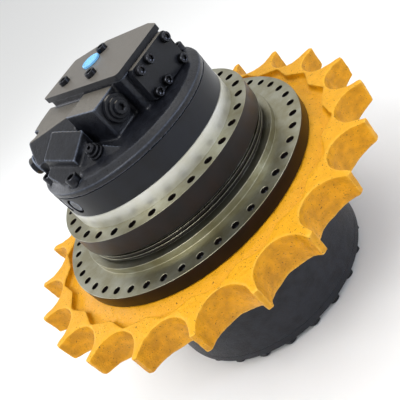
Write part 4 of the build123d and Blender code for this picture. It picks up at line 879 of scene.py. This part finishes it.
@dataclass(frozen=True)
class CastPiece:
    """A cast node with rounded corners and the uneven skin that a sand mould leaves."""

    node: str
    voxel_mm: float
    smoothing: int
    wave_mm: float
    wave_height_mm: float
    pit_mm: float
    pit_height_mm: float
    swell: RootSwell | None = None
    relief: BoreRelief | None = None
    pads: tuple[CastPad, ...] = ()
    smooth_factor: float = 0.5

    def build(self) -> bpy.types.Object:
        """Round the node's corners, roughen its skin and show it.

        Returns:
            The new piece.
        """
        mesh = welded(self.node)
        for pad in self.pads:
            pad.add(mesh, self.node)
        sharp = kept(mesh, f"{self.node}.sharp")
        mould = bpy.data.objects.new(f"{self.node}.mould", sharp)
        bpy.context.scene.collection.objects.link(mould)
        remesh = mould.modifiers.new("sand", "REMESH")
        remesh.mode = "VOXEL"
        remesh.voxel_size = self.voxel_mm * MM
        smooth = mould.modifiers.new("corners", "SMOOTH")
        smooth.factor = self.smooth_factor
        smooth.iterations = self.smoothing
        graph = bpy.context.evaluated_depsgraph_get()
        cast = bpy.data.meshes.new_from_object(mould.evaluated_get(graph))
        cast.name = f"{self.node}.cast"
        bpy.data.objects.remove(mould)
        bpy.data.meshes.remove(sharp)
        self.roughen(cast)
        return stand_in(self.node, cast, "cast")

    def roughen(self, cast: bpy.types.Mesh) -> None:
        """Push the skin inwards in waves and pits, none of them outwards, as noise runs from -1 to 1.

        Args:
            cast: The rounded mesh.
        """
        skin = [(corner.co.copy(), corner.normal.copy()) for corner in cast.vertices]
        moved = []
        for at, out in skin:
            wave = noise.noise(at / (self.wave_mm * MM)) - 1.0
            pit = noise.noise(at / (self.pit_mm * MM)) - 1.0
            depth = 0.5 * MM * (wave * self.wave_height_mm + pit * self.pit_height_mm)
            after = at + out * depth
            if self.swell:
                after += DOWN * self.swell.drop(at)
            if self.relief:
                after = self.relief.clear(after)
            moved.extend(after)
        cast.vertices.foreach_set("co", moved)
        cast.update()


@dataclass(frozen=True)
class Ring:
    """One ring of a turned fastener: height above its inner end, radius, and flats cut across it."""

    height_mm: float
    radius_mm: float
    flats_mm: float = 0.0
    knurl_mm: float = 0.0

    def reach(self, angle: float, odd: bool) -> float:
        """Distance of the ring's edge from its axis.

        Args:
            angle: Angle round the axis.
            odd: Whether the point is an odd one, which a knurl lowers.

        Returns:
            The distance in metres.
        """
        reach = self.radius_mm - (self.knurl_mm if odd else 0.0)
        if self.flats_mm:
            turn = (angle + math.pi / 6) % (math.pi / 3) - math.pi / 6
            reach = min(reach, self.flats_mm / 2 / math.cos(turn))
        return reach * MM


@dataclass(frozen=True)
class SocketScrew:
    """Socket head cap screw with a knurled head and a hexagon socket."""

    shank_mm: float
    head_mm: float
    head_height_mm: float
    socket_mm: float
    edge_mm: float = 0.9
    tip_mm: float = 1.0
    foot_mm: float = 0.3
    shoulder_mm: float = 0.2
    mouth_mm: float = 0.6
    socket_depth: float = 0.55
    cone_depth: float = 0.12
    cone_width: float = 0.3
    knurl_depth: float = 0.025
    knurl_end: float = 1.6

    def rings(self, length_mm: float) -> list[Ring]:
        """Profile of the screw.

        Args:
            length_mm: Whole length.

        Returns:
            The rings from the shank's end to the socket's floor.
        """
        under = length_mm - self.head_height_mm
        rim = self.head_mm - self.edge_mm
        mouth = self.socket_mm / math.sqrt(3) + self.mouth_mm
        floor = length_mm - self.socket_depth * self.head_height_mm
        knurl = self.knurl_depth * self.head_mm
        return [
            Ring(0.0, self.shank_mm - self.tip_mm),
            Ring(self.tip_mm, self.shank_mm),
            Ring(under, self.shank_mm),
            Ring(under, self.head_mm - self.foot_mm),
            Ring(under + self.foot_mm, self.head_mm, knurl_mm=knurl),
            Ring(length_mm - self.knurl_end * self.edge_mm, self.head_mm, knurl_mm=knurl),
            Ring(length_mm - self.edge_mm, self.head_mm - self.shoulder_mm),
            Ring(length_mm, rim),
            Ring(length_mm, mouth),
            Ring(length_mm - self.mouth_mm, mouth, flats_mm=self.socket_mm),
            Ring(floor, mouth, flats_mm=self.socket_mm),
            Ring(floor - self.cone_depth * self.head_height_mm, self.cone_width * mouth),
        ]


@dataclass(frozen=True)
class HexBolt:
    """Hexagon head bolt or plug with a chamfered crown and an optional round collar."""

    shank_mm: float
    flats_mm: float
    head_height_mm: float
    collar_mm: float
    collar_height_mm: float
    dimple_mm: float = 0.0
    dimple_inner: float = 0.25
    dimple_outer: float = 0.45
    tip_mm: float = 1.2
    foot_mm: float = 0.3
    lip_mm: float = 0.8
    lip_share: float = 0.4
    crown_rise: float = 0.75
    crown_inset_mm: float = 0.2
    crown_flat: float = 0.55
    crown_steps: int = 4

    def rings(self, length_mm: float) -> list[Ring]:
        """Profile of the bolt.

        Args:
            length_mm: Whole length.

        Returns:
            The rings from the shank's end to the crown.
        """
        corner = self.flats_mm / math.sqrt(3)
        flat = self.flats_mm / 2
        under = length_mm - self.head_height_mm
        seat = under - self.collar_height_mm
        crown = corner - flat
        lip = min(self.lip_mm, self.lip_share * self.collar_height_mm)
        rings = [
            Ring(self.dimple_mm, self.dimple_inner * self.shank_mm),
            Ring(0.0, self.dimple_outer * self.shank_mm),
            Ring(0.0, self.shank_mm - self.tip_mm),
            Ring(self.tip_mm, self.shank_mm),
            Ring(seat, self.shank_mm),
            Ring(seat, self.collar_mm - self.foot_mm),
            Ring(seat + self.foot_mm, self.collar_mm),
            Ring(under - lip, self.collar_mm),
            Ring(under, self.collar_mm - lip),
            Ring(under, corner, flats_mm=self.flats_mm),
        ]
        for step in range(self.crown_steps + 1):
            left = 1 - step / self.crown_steps
            radius = flat + crown * left - self.crown_inset_mm
            rings.append(Ring(length_mm - crown * self.crown_rise * left, radius, flats_mm=self.flats_mm))
        rings.append(Ring(length_mm, self.crown_flat * flat))
        return rings


@dataclass(frozen=True)
class SteppedPlug:
    """Round screwed plug whose head steps in twice to a nose with a hexagon socket."""

    stem_mm: float
    step_radii_mm: tuple[float, ...]
    step_heights_mm: tuple[float, ...]
    socket_mm: float
    edge_mm: float = 0.8
    tip_mm: float = 1.2
    foot_mm: float = 0.2
    mouth_mm: float = 0.5

    def rings(self, length_mm: float) -> list[Ring]:
        """Profile of the plug.

        Args:
            length_mm: Whole length.

        Returns:
            The rings from the stem's end to the socket's floor.
        """
        height = length_mm - sum(self.step_heights_mm)
        rings = [
            Ring(0.0, self.stem_mm - self.tip_mm),
            Ring(self.tip_mm, self.stem_mm),
            Ring(height, self.stem_mm),
        ]
        for radius, rise in zip(self.step_radii_mm, self.step_heights_mm):
            rings.append(Ring(height, radius - self.foot_mm))
            rings.append(Ring(height + self.foot_mm, radius))
            height += rise
            rings.append(Ring(height - self.edge_mm, radius))
            rings.append(Ring(height, radius - self.edge_mm))
        mouth = self.socket_mm / math.sqrt(3)
        rings.append(Ring(height, mouth + self.mouth_mm))
        rings.append(Ring(height - self.mouth_mm, mouth, flats_mm=self.socket_mm))
        rings.append(Ring(height - self.step_heights_mm[-1], mouth, flats_mm=self.socket_mm))
        return rings


@dataclass(frozen=True)
class PushCap:
    """Moulded push-in cap with a raised rim round a dished middle."""

    stem_mm: float
    head_mm: float
    head_height_mm: float
    lead_height_mm: float = 2.0
    lead_depth_mm: float = 1.5
    foot_mm: float = 0.6
    # How far each ring of the rim lies below the top and in from the edge.
    rim_mm: tuple[tuple[float, float], ...] = ((1.4, 0.0), (0.4, 0.6), (0.0, 1.6), (0.0, 3.2), (1.6, 4.6))
    dish_mm: float = 1.8
    dish_share: float = 0.4

    def rings(self, length_mm: float) -> list[Ring]:
        """Profile of the cap.

        Args:
            length_mm: Whole length.

        Returns:
            The rings from the stem's end to the middle of the head.
        """
        under = length_mm - self.head_height_mm
        return [
            Ring(0.0, self.stem_mm - self.lead_depth_mm),
            Ring(self.lead_height_mm, self.stem_mm),
            Ring(under, self.stem_mm),
            Ring(under, self.head_mm - self.foot_mm),
            Ring(under + self.foot_mm, self.head_mm),
            *(Ring(length_mm - drop, self.head_mm - inset) for drop, inset in self.rim_mm),
            Ring(length_mm - self.dish_mm, self.dish_share * self.head_mm),
        ]


Profile = SocketScrew | HexBolt | SteppedPlug | PushCap


def turn(mesh: bmesh.types.BMesh, profile: Profile, seat: Seat, sides: int) -> None:
    """Add one turned fastener to a mesh.

    Args:
        mesh: The mesh that takes it.
        profile: The fastener's profile.
        seat: Where the fastener sits.
        sides: Points round each ring.
    """
    side = seat.axis.orthogonal().normalized()
    other = seat.axis.cross(side)
    loops = []
    for ring in profile.rings(seat.length / MM):
        loop = []
        for index in range(sides):
            angle = 2 * math.pi * index / sides
            way = side * math.cos(angle) + other * math.sin(angle)
            at = seat.foot + seat.axis * ring.height_mm * MM + way * ring.reach(angle, index % 2 == 1)
            loop.append(mesh.verts.new(at))
        loops.append(loop)
    for lower, upper in zip(loops, loops[1:]):
        for index in range(sides):
            after = (index + 1) % sides
            mesh.faces.new((lower[index], lower[after], upper[after], upper[index]))
    mesh.faces.new(loops[0][::-1])
    mesh.faces.new(loops[-1])


def turned(name: str, profile: Profile, places: list[Seat], sides: int) -> bpy.types.Mesh:
    """Turn fasteners of one profile as one mesh.

    Args:
        name: The mesh's name.
        profile: The fasteners' profile.
        places: Where they sit.
        sides: Points round each ring.

    Returns:
        The mesh.
    """
    mesh = bmesh.new()
    for seat in places:
        turn(mesh, profile, seat, sides)
    bmesh.ops.recalc_face_normals(mesh, faces=mesh.faces)
    return kept(mesh, name)


@dataclass(frozen=True)
class SlopeFitting:
    """Round drain fitting screwed into the slope of a casting."""

    node: str
    x_mm: float
    y_mm: float
    sink_mm: float = 4.0
    rise_mm: float = 17.0
    sides: int = 36
    name: str = "drain_fitting"
    profile: SteppedPlug = SteppedPlug(
        stem_mm=9.0, step_radii_mm=(13.5, 11.5, 8.5), step_heights_mm=(5.0, 6.0, 6.0), socket_mm=6.0,
        edge_mm=1.6,
    )

    def build(self) -> bpy.types.Object:
        """Turn the fitting and show it on the casting's body.

        Returns:
            The new piece.
        """
        spot, out = surface_under(self.node, self.x_mm, self.y_mm)
        seat = Seat(spot - out * self.sink_mm * MM, out, (self.sink_mm + self.rise_mm) * MM)
        made = turned(self.name, self.profile, [seat], self.sides)
        piece = show(self.name, made, BODY_OF[self.node], Slot.BLACK_OXIDE)
        made.set_sharp_from_angle(angle=CREASE)
        return piece


@dataclass(frozen=True)
class FastenerSet:
    """All fasteners of one node, each turned to one profile."""

    node: str
    profile: Profile
    outward: Vector | None
    sides: int = 36
    finish: Finish | None = None

    def build(self) -> bpy.types.Object:
        """Turn every fastener of the node and show them as one piece.

        Returns:
            The new piece.
        """
        made = turned(f"{self.node}.turned", self.profile, seats(self.node, self.outward), self.sides)
        piece = stand_in(self.node, made, "turned", self.finish)
        made.set_sharp_from_angle(angle=CREASE)
        return piece


def recorded_joint(name: str) -> dict:
    """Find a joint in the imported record.

    Args:
        name: The joint's name.

    Returns:
        The joint's entry.
    """
    return next(joint for joint in frame["record"]["behaviour"]["joints"] if joint["name"] == name)


@dataclass(frozen=True)
class DiscSpring:
    """Conical brake spring under the rear cover; the real one flattens as the piston lets the brake go, and
    this piece keeps its shape.
    """

    node: str = "brake_spring"
    joint: str = "brake_release"
    edge_mm: float = 0.5

    def build(self) -> bpy.types.Object:
        """Make the spring with broken edges and give it a mesh of its own.

        Returns:
            The new piece.
        """
        piece = MachinedPiece(self.node, self.edge_mm).build()
        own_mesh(piece)
        return piece


@dataclass(frozen=True)
class MotorAssembly:
    """Travel motor: casing, rear cover with its valve block, plates, plugs and screws."""

    casing_edge_mm: float = 0.8
    plate_edge_mm: float = 1.2
    cover_voxel_mm: float = 1.7
    cover_smoothing: int = 6
    cover_wave_mm: float = 30.0
    cover_wave_height_mm: float = 0.5
    cover_pit_mm: float = 4.0
    cover_pit_height_mm: float = 0.25
    fitting: SlopeFitting = SlopeFitting("rear_cover", x_mm=-59.5, y_mm=-87.0)
    cover_bolt: SocketScrew = SocketScrew(shank_mm=7.0, head_mm=10.5, head_height_mm=14.0, socket_mm=12.0)
    plate_screw: SocketScrew = SocketScrew(shank_mm=6.0, head_mm=9.5, head_height_mm=8.0, socket_mm=10.0)
    port_screw: SocketScrew = SocketScrew(shank_mm=5.0, head_mm=8.0, head_height_mm=8.0, socket_mm=8.0)
    shipping_plug: PushCap = PushCap(stem_mm=13.0, head_mm=17.0, head_height_mm=5.0)
    spool_plug: SteppedPlug = SteppedPlug(
        stem_mm=15.0, step_radii_mm=(22.0, 16.5, 11.0), step_heights_mm=(7.0, 4.5, 5.5), socket_mm=9.0
    )
    relief_valve: HexBolt = HexBolt(
        shank_mm=12.0, flats_mm=27.0, head_height_mm=9.0, collar_mm=17.0, collar_height_mm=3.0
    )
    gauge_plug: HexBolt = HexBolt(
        shank_mm=7.0, flats_mm=22.0, head_height_mm=8.0, collar_mm=11.0, collar_height_mm=1.0
    )

    def rear_cover(self, front: Vector) -> CastPiece:
        """Lay out the rear cover's casting.

        Args:
            front: The way that the spool's plug faces.

        Returns:
            The casting, not built yet.
        """
        spool = seats("counterbalance_spool", front)[0]
        raised = CastPad(
            x_mm=-90.0, y_mm=-32.0, front=front, width_mm=50.0, length_mm=70.0, rise_mm=12.0, foot_mm=80.0
        )
        # These two join the spool's boss to the shelf behind it, over the spool and beside it.
        over = CastPad(
            x_mm=-29.9, y_mm=-20.3, front=front, width_mm=54.0, length_mm=30.0, rise_mm=0.0, foot_mm=133.0
        )
        beside = CastPad(
            x_mm=-47.9, y_mm=-30.5, front=front, width_mm=12.6, length_mm=30.0, rise_mm=0.0, foot_mm=80.0
        )
        return CastPiece(
            "rear_cover", voxel_mm=self.cover_voxel_mm, smoothing=self.cover_smoothing,
            wave_mm=self.cover_wave_mm, wave_height_mm=self.cover_wave_height_mm,
            pit_mm=self.cover_pit_mm, pit_height_mm=self.cover_pit_height_mm,
            relief=BoreRelief(
                spool, wall_low_mm=9.0, wall_mm=13.0, wall_high_mm=15.0,
                end_low_mm=4.5, end_mm=7.6, end_high_mm=10.0,
            ),
            pads=(raised, over, beside),
        )

    def build(self) -> list[bpy.types.Object]:
        """Make the motor's outer pieces.

        Returns:
            The new pieces.
        """
        front = Vector(recorded_joint("spool_slide")["axis"]).normalized()
        return [
            MachinedPiece("motor_casing", self.casing_edge_mm).build(),
            MachinedPiece("top_plate", self.plate_edge_mm, PLATE_ENAMEL).build(),
            MachinedPiece("port_cover", self.plate_edge_mm, PLATE_ENAMEL).build(),
            self.rear_cover(front).build(),
            self.fitting.build(),
            DiscSpring().build(),
            FastenerSet("rear_cover_bolts", self.cover_bolt, UP).build(),
            FastenerSet("top_plate_screws", self.plate_screw, UP).build(),
            FastenerSet("port_cover_screws", self.port_screw, front).build(),
            FastenerSet("shipping_plug", self.shipping_plug, UP).build(),
            FastenerSet("spool_plug", self.spool_plug, front, finish=PLATE_ENAMEL).build(),
            FastenerSet("relief_valves", self.relief_valve, None).build(),
            FastenerSet("gauge_plugs", self.gauge_plug, None).build(),
        ]


@dataclass(frozen=True)
class HubAssembly:
    """Turning outside of the drive and the spindle's flange: hub, sprocket, gearbox barrel, cover, bolts."""

    flange_edge_mm: float = 0.9
    barrel_edge_mm: float = 1.5
    bolt_sides: int = 24
    sprocket_voxel_mm: float = 2.4
    sprocket_smoothing: int = 14
    sprocket_wave_mm: float = 34.0
    sprocket_wave_height_mm: float = 2.4
    sprocket_pit_mm: float = 9.0
    sprocket_pit_height_mm: float = 1.3
    sprocket_swell: RootSwell = RootSwell(
        start_mm=-121.0, end_mm=-134.0, root_mm=291.0, tip_mm=342.0, depth_mm=24.0
    )
    sprocket_bolt: HexBolt = HexBolt(
        shank_mm=6.5, flats_mm=21.0, head_height_mm=8.4, collar_mm=10.4, collar_height_mm=0.6, dimple_mm=1.5
    )
    cover_bolt: HexBolt = HexBolt(
        shank_mm=7.5, flats_mm=24.0, head_height_mm=9.2, collar_mm=11.9, collar_height_mm=0.8
    )

    def build(self) -> list[bpy.types.Object]:
        """Make the hub's outer pieces.

        Returns:
            The new pieces.
        """
        return [
            MachinedPiece("spindle_housing", self.flange_edge_mm).build(),
            MachinedPiece("hub_housing", self.flange_edge_mm).build(),
            MachinedPiece("ring_gear", self.barrel_edge_mm).build(),
            MachinedPiece("end_cover", self.barrel_edge_mm).build(),
            CastPiece(
                "sprocket", voxel_mm=self.sprocket_voxel_mm, smoothing=self.sprocket_smoothing,
                wave_mm=self.sprocket_wave_mm, wave_height_mm=self.sprocket_wave_height_mm,
                pit_mm=self.sprocket_pit_mm, pit_height_mm=self.sprocket_pit_height_mm,
                swell=self.sprocket_swell,
            ).build(),
            FastenerSet("sprocket_bolts", self.sprocket_bolt, DOWN, self.bolt_sides).build(),
            FastenerSet("cover_bolts", self.cover_bolt, DOWN, self.bolt_sides).build(),
        ]


@dataclass(frozen=True)
class InnerWorks:
    """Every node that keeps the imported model's own mesh: gears, bearings, seals, pistons and brake."""

    def build(self) -> list[bpy.types.Object]:
        """Give each shown node the finish of its slot.

        Returns:
            The nodes.
        """
        dressed = []
        for node, shown in frame["nodes"].items():
            if shown.hide_render:
                continue
            shown.data.materials.clear()
            shown.data.materials.append(FINISHES[SLOT_OF[node]].material())
            dressed.append(shown)
        return dressed


@dataclass(frozen=True)
class AreaLamp:
    """A soft box of the studio."""

    name: str
    at: tuple[float, float, float]
    width: float
    watts: float
    colour: str

    def build(self, aim: Vector) -> None:
        """Hang the soft box and turn it to what it lights.

        Args:
            aim: The point that it faces.
        """
        light = bpy.data.lights.new(self.name, "AREA")
        light.size = self.width
        light.energy = self.watts
        light.color = linear(self.colour)[:3]
        lamp = bpy.data.objects.new(self.name, light)
        lamp.location = self.at
        lamp.rotation_euler = (aim - lamp.location).to_track_quat("-Z", "Y").to_euler()
        bpy.context.scene.collection.objects.link(lamp)


@dataclass(frozen=True)
class Studio:
    """Pale floor, soft light and the camera at the photograph's angle."""

    floor_half: float = 30.0
    floor_gap: float = 0.0002
    floor_colour: str = "#f1f1ef"
    floor_grain: float = 0.35
    sky_colour: str = "#f4f6fa"
    sky_strength: float = 0.42
    camera_at: tuple[float, float, float] = (0.0014, -0.9264, 0.3936)
    camera_right: tuple[float, float, float] = (0.72258, -0.34274, -0.60034)
    camera_up: tuple[float, float, float] = (0.69128, 0.35826, 0.62752)
    camera_back: tuple[float, float, float] = (0.0, -0.86843, 0.49580)
    lens_mm: float = 54.0
    sensor_mm: float = 36.0
    clip_start: float = 0.01
    lamps: tuple[AreaLamp, ...] = (
        AreaLamp("ceiling", at=(0.0, 0.0, 6.0), width=30.0, watts=1500.0, colour="#ffffff"),
        AreaLamp("key", at=(-0.9, -0.9, 1.6), width=1.0, watts=22.0, colour="#ffffff"),
        AreaLamp("fill", at=(1.5, -1.0, 0.5), width=0.5, watts=9.0, colour="#dfe9ff"),
        AreaLamp("crown", at=(0.5, 0.5, 1.9), width=1.2, watts=10.0, colour="#fffdf8"),
        AreaLamp("rim", at=(-1.3, 1.1, 0.6), width=1.0, watts=8.0, colour="#f6f8ff"),
    )

    def build(self) -> None:
        """Set up floor, sky, lamps and camera."""
        self.lay_floor()
        world = bpy.data.worlds.new("studio")
        world.use_nodes = True
        world.node_tree.nodes.clear()
        sky = add_node(
            world.node_tree, "Background",
            {"Color": linear(self.sky_colour), "Strength": self.sky_strength},
        )
        add_node(world.node_tree, "OutputWorld", links={"Surface": sky.outputs[0]})
        bpy.context.scene.world = world
        bpy.context.scene.view_settings.view_transform = "Standard"
        middle = (CAD_BOX[0] + CAD_BOX[1]) / 2
        for lamp in self.lamps:
            lamp.build(middle)
        self.set_camera()

    def lay_floor(self) -> None:
        """Lay the floor under the end cover."""
        mesh = bmesh.new()
        bmesh.ops.create_grid(mesh, x_segments=2, y_segments=2, size=self.floor_half)
        made = kept(mesh, "floor")
        floor = bpy.data.objects.new("floor", made)
        floor.location.z = CAD_BOX[0].z - self.floor_gap
        bpy.context.scene.collection.objects.link(floor)
        made.materials.append(
            MouldedPolymer(
                "pale_studio_floor", colour=self.floor_colour, shade=self.floor_colour, roughness=0.75,
                ior=1.45, skin_mm=self.floor_grain / MM, relief_mm=0.01,
            ).material()
        )

    def set_camera(self) -> None:
        """Put the camera where the photograph was taken from."""
        data = bpy.data.cameras.new("camera")
        data.lens = self.lens_mm
        data.sensor_width = self.sensor_mm
        data.clip_start = self.clip_start
        camera = bpy.data.objects.new("camera", data)
        columns = (self.camera_right, self.camera_up, self.camera_back, self.camera_at)
        rows = [[column[row] for column in columns] for row in range(3)]
        camera.matrix_world = Matrix([*rows, [0.0, 0.0, 0.0, 1.0]])
        bpy.context.scene.collection.objects.link(camera)
        bpy.context.scene.camera = camera


def main() -> None:
    """Build the studio and the drive, sub-assembly by sub-assembly, and report each piece."""
    logging.basicConfig(level=logging.INFO, format="%(message)s")
    Studio().build()
    for assembly in (MotorAssembly(), HubAssembly(), InnerWorks()):
        for piece in assembly.build():
            finish = piece.data.materials[0].name
            LOG.info("%s: %d faces, %s", piece.name, len(piece.data.polygons), finish)


if __name__ == "__main__":
    main()
